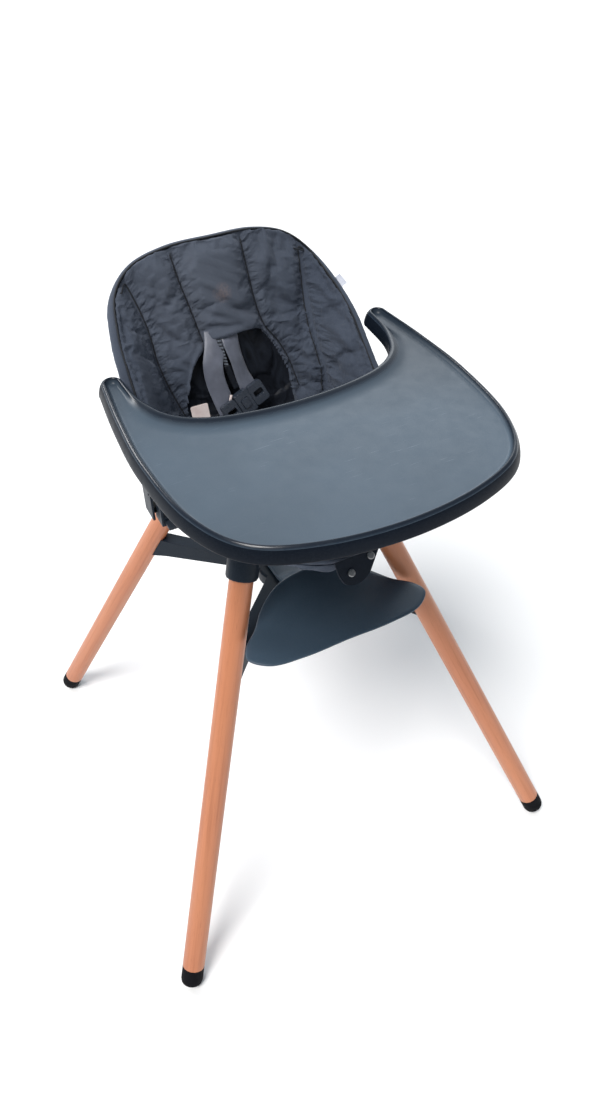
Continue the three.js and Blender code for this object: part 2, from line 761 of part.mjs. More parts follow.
// ---- tray brackets, latches and their springs ------------------------------------------------------
const WEB_INNER = RAIL_OUTER_X + GAP;
const WEB_OUTER = WEB_INNER + BRACKET_WALL;
const LATCH_PIVOT = { x: 195, z: 722 };
const LATCH_FRONT = -64;
const LATCH_BACK = -36;
const LATCH_TOP = 750;
const LATCH_TAB = { front: -50, back: -38, proud: 8, height: 12 };
const PAWL_FRONT = -54;
const PAWL_BACK = -46;
const PIN_RADIUS = 1.5;
const BARREL_RADIUS = 4;

// A cylinder along Y on the latch's pivot.
function pivotCylinder(hand, radius, y0, y1, segments = 16) {
  const geometry = new THREE.CylinderGeometry(radius, radius, y1 - y0, segments);
  return solid(moved(geometry, hand * LATCH_PIVOT.x, (y0 + y1) / 2, LATCH_PIVOT.z));
}

// A channel that grips the rail, a web up to the tray, a flange under it, and ears for the latch pin.
function trayBracket(hand) {
  const railLow = RAIL_HEIGHT - RAIL_FLANGE / 2 - GAP;
  const railHigh = RAIL_HEIGHT + RAIL_FLANGE / 2 + GAP;
  const bottom = railLow - BRACKET_WALL;
  const top = TRAY_UNDERSIDE - GAP;
  const span = [BRACKET_FRONT, BRACKET_BACK + 10];
  const grip = WEB_OUTER - 9;
  let bracket = sideBox(hand, WEB_INNER, WEB_OUTER, ...span, bottom, top)
    .add(sideBox(hand, grip, WEB_OUTER, ...span, bottom, railLow))
    .add(sideBox(hand, grip, WEB_OUTER, ...span, railHigh, railHigh + BRACKET_WALL))
    .add(sideBox(hand, grip - 8, WEB_OUTER, ...span, top - BRACKET_WALL, top));
  for (const [y0, y1] of [[LATCH_FRONT - 5, LATCH_FRONT - GAP], [LATCH_BACK + GAP, LATCH_BACK + 5]]) {
    const reach = LATCH_PIVOT.x + BARREL_RADIUS;
    const [z0, z1] = [LATCH_PIVOT.z - BARREL_RADIUS, LATCH_PIVOT.z + BARREL_RADIUS];
    bracket = bracket.add(sideBox(hand, WEB_INNER, reach, y0, y1, z0, z1));
  }
  const pawlWindow = [PAWL_FRONT - 1, PAWL_BACK + 1, bottom - 3, railHigh + 1.5];
  return bracket
    .subtract(sideBox(hand, grip + 3, WEB_OUTER + 1, ...pawlWindow))
    .subtract(pivotCylinder(hand, PIN_RADIUS + GAP, LATCH_FRONT - 9, LATCH_BACK + 9));
}

// A rocker: a finger tab above the pivot, and below it a pawl that presses on the rail's edge.
function trayLatch(hand) {
  const plate = [LATCH_PIVOT.x - 2, LATCH_PIVOT.x + 1];
  const tab = [LATCH_PIVOT.x, LATCH_PIVOT.x + LATCH_TAB.proud, LATCH_TAB.front, LATCH_TAB.back];
  const span = [LATCH_FRONT, LATCH_BACK];
  const pawlSpan = [PAWL_FRONT, PAWL_BACK];
  const pawl = [RAIL_HEIGHT - 1.5, RAIL_HEIGHT + 1.5];
  return sideBox(hand, ...plate, ...span, RAIL_HEIGHT - 4, LATCH_TOP)
    .add(pivotCylinder(hand, BARREL_RADIUS, ...span))
    .add(sideBox(hand, RAIL_OUTER_X + GAP, LATCH_PIVOT.x, ...pawlSpan, ...pawl))
    .add(sideBox(hand, ...tab, LATCH_TOP - LATCH_TAB.height, LATCH_TOP))
    .subtract(pivotCylinder(hand, PIN_RADIUS + GAP, LATCH_FRONT - 1, LATCH_BACK + 1));
}

// A bowed leaf between the bracket and the tab.
function latchSpring(hand) {
  const path = [
    [WEB_OUTER + 0.8, 728],
    [WEB_OUTER + 1, 734],
    [LATCH_PIVOT.x - 2.9, 741],
    [LATCH_PIVOT.x - 2.8, 747],
  ].map(([x, z]) => vec(hand * x, -50, z));
  return ribbon(path, vec(0, 1, 0), 10, 0.7);
}

for (const [side, hand] of HANDS) {
  place("tray_bracket_" + side, trayBracket(hand), PLASTIC);
  place("tray_latch_" + side, trayLatch(hand), PLASTIC);
  place("latch_spring_" + side, latchSpring(hand), STEEL);
  const pin = pivotCylinder(hand, PIN_RADIUS, LATCH_FRONT - 5, LATCH_BACK + 5, 12);
  place("latch_pin_" + side, pin, STEEL);
}

// ---- harness ---------------------------------------------------------------------------------------
const STRAP_WIDTH = 25;
const STRAP_THICK = 1.8;
const BUCKLE = { x: -3, y: 94, z: 690, roll: 0.4, lean: 0.33 }; // it hangs aslant on the sloping back
const BUCKLE_BODY = { width: 22, height: 34, thick: 11 };
const TONGUE = { width: 23, height: 31, thick: 8 };
const BLADE = { length: 9, height: 18, thick: 3 };
const BUTTON = { width: 11, height: 14, proud: 1.6, travel: 2.5 };

// Local X runs along the buckle, Y up the back, Z out towards the sitter's front.
const buckle = new THREE.Group();
buckle.position.set(BUCKLE.x, BUCKLE.y, BUCKLE.z);
buckle.rotation.set(Math.PI / 2 - BUCKLE.lean, 0, BUCKLE.roll);
buckle.updateMatrix();
chair.add(buckle);

// A box with its vertical edges rounded, centred on x and y.
function roundedBlock(x, y, width, height, z0, z1, radius) {
  const [w, h] = [width / 2 - radius, height / 2 - radius];
  const corners = [[w, h, 0], [-w, h, 1], [-w, -h, 2], [w, -h, 3]];
  const outline = corners.flatMap(([cx, cy, quarter]) =>
    [0, 1, 2, 3].map((n) => {
      const turn = ((quarter + n / 3) * Math.PI) / 2;
      return new THREE.Vector2(x + cx + radius * Math.cos(turn), y + cy + radius * Math.sin(turn));
    }),
  );
  return slab(outline, z0, z1);
}

function buckleBody() {
  const { width, height, thick } = BUCKLE_BODY;
  const [slotY, slotZ] = [BLADE.height / 2 + GAP, BLADE.thick / 2 + GAP];
  const bladeSlot = box(-width, width, -slotY, slotY, -slotZ, slotZ);
  const wellSize = [BUTTON.width + 2 * GAP, BUTTON.height + 2 * GAP];
  const buttonWell = roundedBlock(0, 0, ...wellSize, BLADE.thick / 2, thick, 2);
  return roundedBlock(0, 0, width, height, -thick / 2, thick / 2, 3)
    .subtract(bladeSlot)
    .subtract(buttonWell);
}

// A plate with a blade that enters the buckle, and a bar slot that takes its strap.
function tongue(hand) {
  const inner = BUCKLE_BODY.width / 2 + GAP;
  const middle = hand * (inner + TONGUE.width / 2);
  const { width, height, thick } = TONGUE;
  const plate = roundedBlock(middle, 0, width, height, -thick / 2, thick / 2, 4);
  const [bladeY, bladeZ] = [BLADE.height / 2, BLADE.thick / 2];
  const blade = sideBox(hand, inner - BLADE.length, inner + 4, -bladeY, bladeY, -bladeZ, bladeZ);
  const barSlot = roundedBlock(middle, 0, width - 9, 9, -thick, thick, 2);
  return plate.subtract(barSlot).add(blade);
}

function releaseButton() {
  const bottom = BLADE.thick / 2 + GAP + BUTTON.travel + 0.2;
  const top = BUCKLE_BODY.thick / 2 + BUTTON.proud;
  return roundedBlock(0, 0, BUTTON.width, BUTTON.height, bottom, top, 2);
}

place("buckle_body", buckleBody(), WEBBING, buckle);
place("buckle_button", releaseButton(), PLASTIC, buckle);
for (const [side, hand] of HANDS) place("buckle_tongue_" + side, tongue(hand), WEBBING, buckle);

// The straps: each route is a run of points a little in front of the cover.
const STRAPS = {
  shoulder_strap_left: {
    route: [[-24, 131, 768], [-25, 123, 745], [-26, 115, 722], [-27, 108, 703]],
    side: [1, 0, 0],
  },
  shoulder_strap_right: {
    route: [[4, 132, 772], [6, 126, 754], [8, 119, 735], [9, 113, 720]],
    side: [1, 0, 0],
  },
  crotch_strap: {
    route: [[-2, 87, 667], [-2, 75, 651], [-1, 60, 645], [0, 20, 644], [0, -20, 644]],
    side: [1, 0, 0],
  },
};
for (const [name, { route, side }] of Object.entries(STRAPS)) {
  const path = new THREE.CatmullRomCurve3(route.map((p) => vec(...p))).getPoints(8);
  place(name, ribbon(path, vec(...side), STRAP_WIDTH, STRAP_THICK), WEBBING);
}

// ---- small pieces on the cover ---------------------------------------------------------------------
// The flap leans outwards. Its origin is the spot where the first snap sits.
const TAB = { x: -4.8, y: -212.5, z: 628, lean: 0.7, rise: 18, thick: 3 };
const SNAPS = { front_snap: [0, 0], front_snap_upper: [31, 12] };

const tabFrame = new THREE.Group();
tabFrame.position.set(TAB.x, TAB.y, TAB.z);
tabFrame.rotation.x = Math.PI / 2 - TAB.lean;
tabFrame.updateMatrix();
chair.add(tabFrame);

// A stiffened fabric flap that hangs at the front: round at its end, and wider on the right higher up.
function frontTab() {
  const roundEnd = spline([[-16.5, 3], [-12, -10], [0, -15.4], [14, -13], [25, -6]], 12);
  const top = [new THREE.Vector2(45, TAB.rise), new THREE.Vector2(-16.5, TAB.rise)];
  return slab([...roundEnd, ...top], -TAB.thick, 0);
}
place("front_tab", frontTab(), COVER, tabFrame);

for (const [name, [x, y]] of Object.entries(SNAPS)) {
  const snap = turnedUpright([[0, GAP], [5, GAP], [5, 1.4], [3.8, 2.4], [0, 2.6]], 16);
  place(name, snap, STEEL, tabFrame).position.set(x, y, 0);
}

const CARE_LABEL = { width: 25, height: 29, thick: 0.8 };
const labelSheet = roundedBlock(0, 0, CARE_LABEL.width, CARE_LABEL.height, 0, CARE_LABEL.thick, 2);
const careLabel = place("care_label", labelSheet, LABEL);
careLabel.position.set(-67, 98.5, 686);
careLabel.rotation.x = Math.PI / 2 - BUCKLE.lean;

// A folded fabric tag sewn to the outside of the cover's edge, on the right.
const TAG = { width: 16, reach: 24, thick: 1.4 };
const tagAlong = vec(-17, 46, 31).normalize(); // the way the rim runs there
const tagOut = vec(0.86, 0, 0.5).projectOnPlane(tagAlong).normalize();

function coverTag() {
  const pose = new THREE.Matrix4().makeBasis(tagAlong, tagOut, tagAlong.clone().cross(tagOut));
  pose.setPosition(150, 134, 803);
  const sheet = new THREE.BoxGeometry(TAG.width, TAG.reach, TAG.thick);
  const pieces = solid(sheet.translate(0, TAG.reach / 2, 0).applyMatrix4(pose))
    .subtract(cover)
    .decompose();
  return pieces.reduce((a, b) => (a.boundingBox().max[0] > b.boundingBox().max[0] ? a : b));
}
place("cover_tag", coverTag(), LABEL).position.copy(tagOut).multiplyScalar(GAP);

export default chair;
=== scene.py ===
import math

import bmesh
import bpy
import numpy as np
from mathutils import Matrix, Vector
from mathutils.bvhtree import BVHTree


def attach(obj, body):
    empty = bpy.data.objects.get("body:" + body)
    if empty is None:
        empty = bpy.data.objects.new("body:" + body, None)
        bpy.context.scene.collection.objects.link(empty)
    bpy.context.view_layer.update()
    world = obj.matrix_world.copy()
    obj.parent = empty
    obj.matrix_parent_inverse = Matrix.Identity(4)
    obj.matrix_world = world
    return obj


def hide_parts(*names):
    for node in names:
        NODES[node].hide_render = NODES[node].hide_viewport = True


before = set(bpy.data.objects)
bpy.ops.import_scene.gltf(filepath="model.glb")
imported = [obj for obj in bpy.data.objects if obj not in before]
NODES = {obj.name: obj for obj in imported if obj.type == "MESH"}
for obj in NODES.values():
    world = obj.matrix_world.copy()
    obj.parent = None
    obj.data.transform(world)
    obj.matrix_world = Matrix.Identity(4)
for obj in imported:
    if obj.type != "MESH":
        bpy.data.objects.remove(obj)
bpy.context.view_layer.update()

MM = 0.001
CHAIR, TRAY = "chair", "tray"

# ---- the bucket's shape, repeated from the CAD (mm) --------------------------------------------------
BASE_TOP = 611
SHELL_WALL = 4
BIGHT = 34  # the length of wall and of pan that the rounding between them takes
HEM_DROP = 30  # how far the cover hangs down outside the rim
PAN_CENTRE = np.array([0, -10, BASE_TOP + 1.0])
TOWARDS_SITTER = np.array([0, -20, 800.0])

# The rim, and the corner between wall and pan: the right half of each, from front to back.
RIM = [
    (0, -190, 634), (68, -178, 650), (124, -142, 672), (156, -90, 688), (169, -30, 698),
    (169, 22, 720), (167, 58, 752), (165, 90, 782), (159, 130, 809), (142, 176, 840),
    (110, 193, 866), (61, 192, 882), (0, 187, 886),
]
FOOT = [
    (0, -150, 617), (60, -143, 617), (110, -117, 616), (142, -74, 615), (154, -20, 615),
    (154, 28, 616), (145, 62, 618), (127, 89, 620), (103, 104, 623), (78, 111, 626),
    (52, 113, 627), (28, 114, 628), (0, 114, 628),
]

# ---- the tray (mm) -----------------------------------------------------------------------------------
TRAY_TOP = 794
TRAY_STATIONS = 620  # points round the outline
TRAY_OUTER = [(0, -324), (96, -312), (167, -278), (204, -208), (216, -104), (213, -14), (205, 66)]
TRAY_INNER = [(169, 66), (164, 9), (147, -29), (112, -54), (58, -67), (0, -71)]
ARM_TIP = (187, 66, 18)  # the round end of each arm: x, y and radius
CUTOUT_EDGE = -75  # the outline behind this, and between the arms, is the seat's cut-out
CUTOUT_HALF = 172
ARM_INSIDE = 180  # no point of the cut-out is further out
LIP_ENDS = (-12, 46)  # the cut-out's sloping lip turns into the plain rim between these

# Each profile is a run of (inset from the edge, height over the tray's top), from the skirt's inside,
# round its foot and over the rim, to the floor. The two have as many rows.
RIM_PROFILE = [
    (3, -10.6), (3, -19.4), (2.4, -20), (0.9, -20), (0.2, -19.3), (0, -18), (0.6, -14), (1.6, -10),
    (2.9, -6.4), (4.5, -3.4), (6.0, -1.5), (7.3, -0.4), (8.4, 0), (9.2, -0.3), (9.9, -1.3),
    (10.6, -2.8), (11.4, -4.4), (12.2, -5.6), (13.0, -6.4), (13.8, -6.8), (14.8, -7), (16, -7),
]
LIP_PROFILE = [
    (3, -10.6), (3, -19.4), (2.4, -20), (0.9, -20), (0.2, -19.3), (0, -18), (0, -11), (0, -5.4),
    (0.5, -3.2), (1.7, -1.3), (3.3, -0.3), (5.0, 0), (6.6, -0.4), (8.4, -1.1), (10.6, -2.1),
    (13.4, -3.4), (16.6, -4.7), (20.0, -5.8), (23.6, -6.5), (27.0, -6.9), (30.0, -7.0), (33, -7),
]
SKIRT_ROWS = 9  # rows of a profile that belong to the skirt


# ---- mesh helpers ------------------------------------------------------------------------------------
def mesh_object(name, points, faces):
    """A smooth-shaded mesh object from points in mm."""
    mesh = bpy.data.meshes.new(name)
    mesh.from_pydata((np.asarray(points, float) * MM).tolist(), [], faces)
    mesh.validate()
    bm = bmesh.new()
    bm.from_mesh(mesh)
    bmesh.ops.recalc_face_normals(bm, faces=bm.faces)
    bm.to_mesh(mesh)
    bm.free()
    mesh.polygons.foreach_set("use_smooth", [True] * len(mesh.polygons))
    obj = bpy.data.objects.new(name, mesh)
    bpy.context.scene.collection.objects.link(obj)
    return obj


def loop_faces(rows, columns, closed=False, capped=False):
    """Quads of a grid of loops. closed joins the last loop to the first; capped fills both of them."""
    faces = []
    for r in range(rows if closed else rows - 1):
        a, b = r * columns, (r + 1) % rows * columns
        for c in range(columns):
            d = (c + 1) % columns
            faces.append((a + c, a + d, b + d, b + c))
    if capped:
        last = (rows - 1) * columns
        faces.append(tuple(range(columns)))
        faces.append(tuple(reversed(range(last, last + columns))))
    return faces


def unit(vectors):
    """Each row of an array, made one long."""
    return vectors / np.linalg.norm(vectors, axis=-1)[..., None]


def catmull(points, count, closed=False, centripetal=False):
    """Points along a Catmull-Rom curve, evenly spaced in its parameter."""
    p = np.asarray(points, float)
    n = len(p)
    spans = n if closed else n - 1
    total = count if closed else count - 1
    out = []
    for k in range(count):
        t = k * spans / total
        i = min(int(t), spans - 1)
        w = t - i
        if closed:
            a, b, c, d = (p[(i + o) % n] for o in (-1, 0, 1, 2))
        else:
            a, b, c, d = p[max(i - 1, 0)], p[i], p[i + 1], p[min(i + 2, n - 1)]
        if centripetal:
            e0, e1, e2 = (max(np.linalg.norm(y - x) ** 0.5, 1e-6) for x, y in ((a, b), (b, c), (c, d)))
            m1 = ((b - a) / e0 - (c - a) / (e0 + e1) + (c - b) / e1) * e1
            m2 = ((c - b) / e1 - (d - b) / (e1 + e2) + (d - c) / e2) * e1
        else:
            m1, m2 = (c - a) / 2, (d - b) / 2
        out.append(b + m1 * w + (3 * (c - b) - 2 * m1 - m2) * w**2 + (2 * (b - c) + m1 + m2) * w**3)
    return np.array(out)


def mirrored(half):
    """The right half of a loop, front centre to back centre, and its mirror image."""
    half = [tuple(p) for p in half]
    return half + [(-p[0], *p[1:]) for p in reversed(half[1:-1])]


def even_spacing(points, count):
    """A closed run of points spread at even distances."""
    p = np.vstack([points, points[:1]])
    along = np.concatenate([[0], np.cumsum(np.linalg.norm(np.diff(p, axis=0), axis=1))])
    at = np.linspace(0, along[-1], count, endpoint=False)
    return np.stack([np.interp(at, along, p[:, k]) for k in range(p.shape[1])], 1)


def smoothstep(x, low, high):
    """From 0 at low to 1 at high, easing in and out."""
    t = np.clip((np.asarray(x, float) - low) / (high - low), 0, 1)
    return t * t * (3 - 2 * t)


def ripple(*coordinates, seed=0.0):
    """A smooth, repeatable wobble between about -1 and 1, made of sines that don't line up."""
    total = 0
    for k, frequency in enumerate((1.0, 1.73, 2.91, 4.17)):
        phase = seed * (k + 1) * 1.7
        term = 0
        for n, c in enumerate(coordinates):
            term = term + np.asarray(c, float) * frequency * (1 + 0.37 * n * (k % 2))
        total = total + np.sin(term + phase + 0.9 * k) / (k + 1)
    return total / 2.08


def tube(name, points, radius, sides, closed=False, normal=(0, 0, 1)):
    """A round tube along points in mm; normal is any direction that it never runs in."""
    p = np.asarray(points, float)
    tangent = unit(np.roll(p, -1, 0) - np.roll(p, 1, 0) if closed else np.gradient(p, axis=0))
    side = unit(np.cross(tangent, np.asarray(normal, float)))
    out = np.cross(side, tangent)
    turns = 2 * math.pi * np.arange(sides) / sides
    rings = [p + radius * (math.cos(turn) * side + math.sin(turn) * out) for turn in turns]
    faces = loop_faces(len(p), sides, closed=closed, capped=not closed)
    return mesh_object(name, np.stack(rings, 1).reshape(-1, 3), faces)


def modifier(obj, kind, **settings):
    made = obj.modifiers.new(kind.title(), kind)
    for key, value in settings.items():
        setattr(made, key, value)
    return made


def bake_modifiers(obj):
    """Replaces an object's mesh by what its modifiers make of it."""
    graph = bpy.context.evaluated_depsgraph_get()
    done = bpy.data.meshes.new_from_object(obj.evaluated_get(graph))
    obj.modifiers.clear()
    obj.data = done


def coordinates(obj):
    """An object's vertices in mm."""
    flat = np.empty(len(obj.data.vertices) * 3)
    obj.data.vertices.foreach_get("co", flat)
    return flat.reshape(-1, 3) / MM


def set_coordinates(obj, points):
    obj.data.vertices.foreach_set("co", (points * MM).ravel())
    obj.data.update()


# ---- materials ---------------------------------------------------------------------------------------
class Surface:
    """A Principled material with short calls for the nodes it needs."""

    def __init__(self, name, color, roughness, **sockets):
        self.material = bpy.data.materials.new(name)
        self.material.use_nodes = True
        self.tree = self.material.node_tree
        self.bsdf = self.tree.nodes["Principled BSDF"]
        self.bsdf.inputs["Base Color"].default_value = (*color, 1)
        self.bsdf.inputs["Roughness"].default_value = roughness
        for key, value in sockets.items():
            self.bsdf.inputs[key.replace("_", " ")].default_value = value
        self.point = self.node("ShaderNodeTexCoord").outputs["Object"]
        self.material.diffuse_color = (*color, 1)

    def node(self, kind, **settings):
        made = self.tree.nodes.new(kind)
        for key, value in settings.items():
            setattr(made, key, value)
        return made

    def link(self, source, socket):
        self.tree.links.new(source, socket)

    def mapped(self, scale, source=None, turn=(0, 0, 0), shift=(0, 0, 0)):
        made = self.node("ShaderNodeMapping")
        made.inputs["Scale"].default_value = scale
        made.inputs["Rotation"].default_value = turn
        made.inputs["Location"].default_value = shift
        self.link(source or self.point, made.inputs["Vector"])
        return made.outputs["Vector"]

    def noise(self, scale, detail=3, roughness=0.5, source=None, distortion=0.0):
        made = self.node("ShaderNodeTexNoise")
        made.inputs["Scale"].default_value = scale
        made.inputs["Detail"].default_value = detail
        made.inputs["Roughness"].default_value = roughness
        made.inputs["Distortion"].default_value = distortion
        self.link(source or self.point, made.inputs["Vector"])
        return made.outputs["Fac"]

    def cells(self, scale, source=None):
        made = self.node("ShaderNodeTexVoronoi")
        made.inputs["Scale"].default_value = scale
        self.link(source or self.point, made.inputs["Vector"])
        return made.outputs["Distance"]

    def bands(self, direction, scale, distortion=0.0, turn=(0, 0, 0)):
        made = self.node("ShaderNodeTexWave", bands_direction=direction)
        made.inputs["Scale"].default_value = 1
        made.inputs["Distortion"].default_value = distortion
        self.link(self.mapped(scale, turn=turn), made.inputs["Vector"])
        return made.outputs["Fac"]

    def axis(self, letter):
        made = self.node("ShaderNodeSeparateXYZ")
        self.link(self.point, made.inputs[0])
        return made.outputs[letter]

    def distance(self, centre):
        """How far the surface is from a place on the chair, in metres."""
        made = self.node("ShaderNodeVectorMath", operation="DISTANCE")
        made.inputs[1].default_value = centre
        self.link(self.point, made.inputs[0])
        return made.outputs["Value"]

    def remap(self, value, low, high, to_low=0.0, to_high=1.0):
        """The value's run from low to high, stretched to the run from to_low to to_high."""
        made = self.node("ShaderNodeMapRange")
        for socket, number in zip(range(1, 5), (low, high, to_low, to_high)):
            made.inputs[socket].default_value = number
        self.link(value, made.inputs[0])
        return made.outputs[0]

    def math(self, operation, a, b=0.5):
        made = self.node("ShaderNodeMath", operation=operation)
        for socket, value in zip(made.inputs, (a, b)):
            if isinstance(value, (int, float)):
                socket.default_value = value
            else:
                self.link(value, socket)
        return made.outputs[0]

    def mixed(self, factor, a, b):
        """Colour a where factor is 0, and b where it is 1."""
        made = self.node("ShaderNodeMix", data_type="RGBA")
        for socket, value in ((made.inputs[6], a), (made.inputs[7], b)):
            if isinstance(value, tuple):
                socket.default_value = (*value, 1)
            else:
                self.link(value, socket)
        if isinstance(factor, (int, float)):
            made.inputs[0].default_value = factor
        else:
            self.link(factor, made.inputs[0])
        return made.outputs[2]

    def color(self, source):
        self.link(source, self.bsdf.inputs["Base Color"])

    def roughness(self, source):
        self.link(source, self.bsdf.inputs["Roughness"])

    def bump(self, height, distance, strength=1.0):
        made = self.node("ShaderNodeBump")
        made.inputs["Distance"].default_value = distance
        made.inputs["Strength"].default_value = strength
        self.link(height, made.inputs["Height"])
        before = self.bsdf.inputs["Normal"].links
        if before:
            self.link(before[0].from_socket, made.inputs["Normal"])
        self.link(made.outputs["Normal"], self.bsdf.inputs["Normal"])


LEG_SPLAY = 0.375  # how far a leg leans out, along x and along y, for its height


def beech():
    """Lacquered beech with its grain along whichever leg it is on."""
    s = Surface("beech", (0.62, 0.25, 0.12), 0.42, Coat_Weight=0.1, Coat_Roughness=0.3)
    folded = s.node("ShaderNodeVectorMath", operation="ABSOLUTE")
    s.link(s.point, folded.inputs[0])
    upright = s.node("ShaderNodeVectorRotate")
    upright.inputs["Axis"].default_value = (-math.sqrt(0.5), math.sqrt(0.5), 0)
    upright.inputs["Angle"].default_value = math.atan(LEG_SPLAY * math.sqrt(2))
    s.link(folded.outputs[0], upright.inputs["Vector"])
    along = upright.outputs[0]
    growth = s.noise(1, 3, 0.5, s.mapped((42, 42, 1.5), along), 0.6)
    streaks = s.noise(1, 4, 0.6, s.mapped((230, 230, 5), along))
    pores = s.noise(1, 2, 0.5, s.mapped((1100, 1100, 60), along))
    broad = s.noise(5, 2, 0.5)
    pale, warm, deep = (0.57, 0.212, 0.1), (0.47, 0.156, 0.07), (0.3, 0.09, 0.038)
    tone = s.mixed(s.remap(growth, 0.35, 0.68), pale, warm)
    tone = s.mixed(s.remap(streaks, 0.5, 0.78, 0, 0.5), tone, deep)
    tone = s.mixed(s.remap(pores, 0.6, 0.75, 0, 0.45), tone, deep)
    tone = s.mixed(s.remap(broad, 0.35, 0.7, 0, 0.28), tone, (0.61, 0.247, 0.115))
    s.color(tone)
    s.roughness(s.remap(streaks, 0.3, 0.7, 0.36, 0.5))
    s.bump(pores, 0.0001, 0.4)
    s.bump(streaks, 0.0002, 0.25)
    return s.material


def moulded(
    name, color, roughness, grain=1500, depth=0.00006, scuffs=0.0, speckle=0.04, gloss=0.3, rim_and_arm_shade=None
):
    """Moulded plastic with a fine even grain, slight unevenness of tone, and optional scuffs.
    rim_and_arm_shade is (low, high, colour): between those heights it changes to that darker colour,
    and towards the tray's arms the same colour is painted shade."""
    s = Surface(name, color, roughness, Specular_IOR_Level=gloss)
    lighter = tuple(min(1, c * 1.14 + 0.002) for c in color)
    darker = tuple(c * 0.88 for c in color)
    cloud = s.noise(5, 3, 0.5)
    tone = s.mixed(s.remap(cloud, 0.3, 0.7), darker, lighter)
    fine = s.noise(grain, 2, 0.5)
    tone = s.mixed(s.remap(fine, 0.45, 0.7, 0, speckle), tone, (0.24, 0.29, 0.36))
    rough = s.remap(s.noise(60, 3, 0.6), 0.3, 0.7, roughness - 0.04, roughness + 0.05)
    s.bump(fine, depth, 0.5)
    s.bump(s.noise(9, 2, 0.4), 0.0006, 0.1)
    if rim_and_arm_shade:
        low, high, dark_rim_and_shade_color = rim_and_arm_shade
        rim = s.remap(s.axis("Z"), low, high)
        # Painted shade: the tray grows darker towards its arms.
        towards_shaded_arms = s.math("ADD", s.axis("Y"), s.math("MULTIPLY", s.axis("X"), 0.35))
        rim_and_painted_arm_shade = s.math("MAXIMUM", rim, s.remap(towards_shaded_arms, -0.12, 0.08, 0, 0.75))
    if scuffs:
        marks = None
        where = s.remap(s.noise(8.5, 2, 0.6), 0.46, 0.66)
        for turn, shift, stretch in ((0.62, 0.0, 9), (-0.85, 0.31, 12), (1.35, 0.77, 7)):
            run = s.mapped((stretch, 420, 1), turn=(0, 0, turn), shift=(shift, shift, shift))
            thread = s.remap(s.cells(1, run), 0.03, 0.08, 1, 0)
            marks = thread if marks is None else s.math("MAXIMUM", marks, thread)
        marks = s.math("MULTIPLY", marks, where)
        dust = s.math("MULTIPLY", s.remap(s.cells(420), 0.05, 0.12, 1, 0), s.remap(cloud, 0.45, 0.6))
        marks = s.math("MAXIMUM", marks, s.math("MULTIPLY", dust, 0.5))
        marks = s.math("MULTIPLY", marks, scuffs)
        if rim_and_arm_shade:
            marks = s.math("MULTIPLY", marks, s.math("SUBTRACT", 1.0, rim))
        tone = s.mixed(marks, tone, (0.36, 0.42, 0.5))
        rough = s.math("ADD", rough, s.math("MULTIPLY", marks, 0.2))
    if rim_and_arm_shade:
        # The darker colour on the rim's top, and as painted shade towards the arms.
        tone = s.mixed(rim_and_painted_arm_shade, tone, dark_rim_and_shade_color)
        rough = s.math("SUBTRACT", rough, s.math("MULTIPLY", rim, 0.18))
    s.color(tone)
    s.roughness(rough)
    return s.material


WEAVE = (700, 700, 700)  # threads: the scale of the cotton's bands
PAINTED_LIGHT_AT = (-0.01, 0.165, 0.845)  # the middle of a paler patch high on the back, a painted pool of light (m)
FADED_SPOT = (-0.003, 0.150, 0.828)  # a small rubbed spot in it (m)


def cotton(name, sheen=0.22, wear_shown=0.3, painted_shade=0.0):
    """Brushed charcoal cotton: a fine plain weave, slubs, paler worn places and a painted pool of light.
    """
    s = Surface(name, (0.04, 0.046, 0.058), 0.92, Sheen_Weight=sheen, Sheen_Roughness=0.45)
    s.bsdf.inputs["Sheen Tint"].default_value = (0.62, 0.68, 0.8, 1)
    s.bsdf.inputs["Specular IOR Level"].default_value = 0.25
    weave = s.math("MULTIPLY", s.math("ADD", s.bands("X", WEAVE, 1.2), s.bands("Z", WEAVE, 1.2)), 0.5)
    slubs = s.noise(1, 3, 0.6, s.mapped((420, 420, 60)))
    cloud = s.noise(14, 4, 0.62)
    wear = s.noise(5, 3, 0.55, s.mapped((1, 1, 1), shift=(0.3, 0.1, 0.7)))
    tone = s.mixed(s.remap(cloud, 0.3, 0.72), (0.04, 0.051, 0.075), (0.062, 0.078, 0.11))
    tone = s.mixed(s.remap(wear, 0.46, 0.7, 0, wear_shown), tone, (0.1, 0.114, 0.148))
    # Painted light: a paler patch round the top of the back.
    painted_light = s.remap(s.distance(PAINTED_LIGHT_AT), 0.02, 0.15, 0.42, 0)
    tone = s.mixed(painted_light, tone, (0.12, 0.135, 0.165))
    tone = s.mixed(s.remap(weave, 0.3, 0.8, 0, 0.35), tone, (0.11, 0.128, 0.168))
    tone = s.mixed(s.remap(slubs, 0.58, 0.74, 0, 0.4), tone, (0.12, 0.13, 0.15))
    # Painted shade: a much darker copy of the cloth.
    if painted_shade:
        tone = s.mixed(painted_shade, tone, (0.006, 0.009, 0.015))
    near = s.remap(s.distance(FADED_SPOT), 0.004, 0.015, 1, 0)
    faded = s.math("MULTIPLY", near, s.remap(s.noise(260, 3, 0.6), 0.35, 0.65, 0.1, 0.6))
    s.color(s.mixed(faded, tone, (0.27, 0.2, 0.185)))
    s.bump(weave, 0.00022, 0.45)
    s.bump(slubs, 0.0003, 0.3)
    s.bump(s.noise(60, 3, 0.6), 0.0007, 0.25)
    return s.material


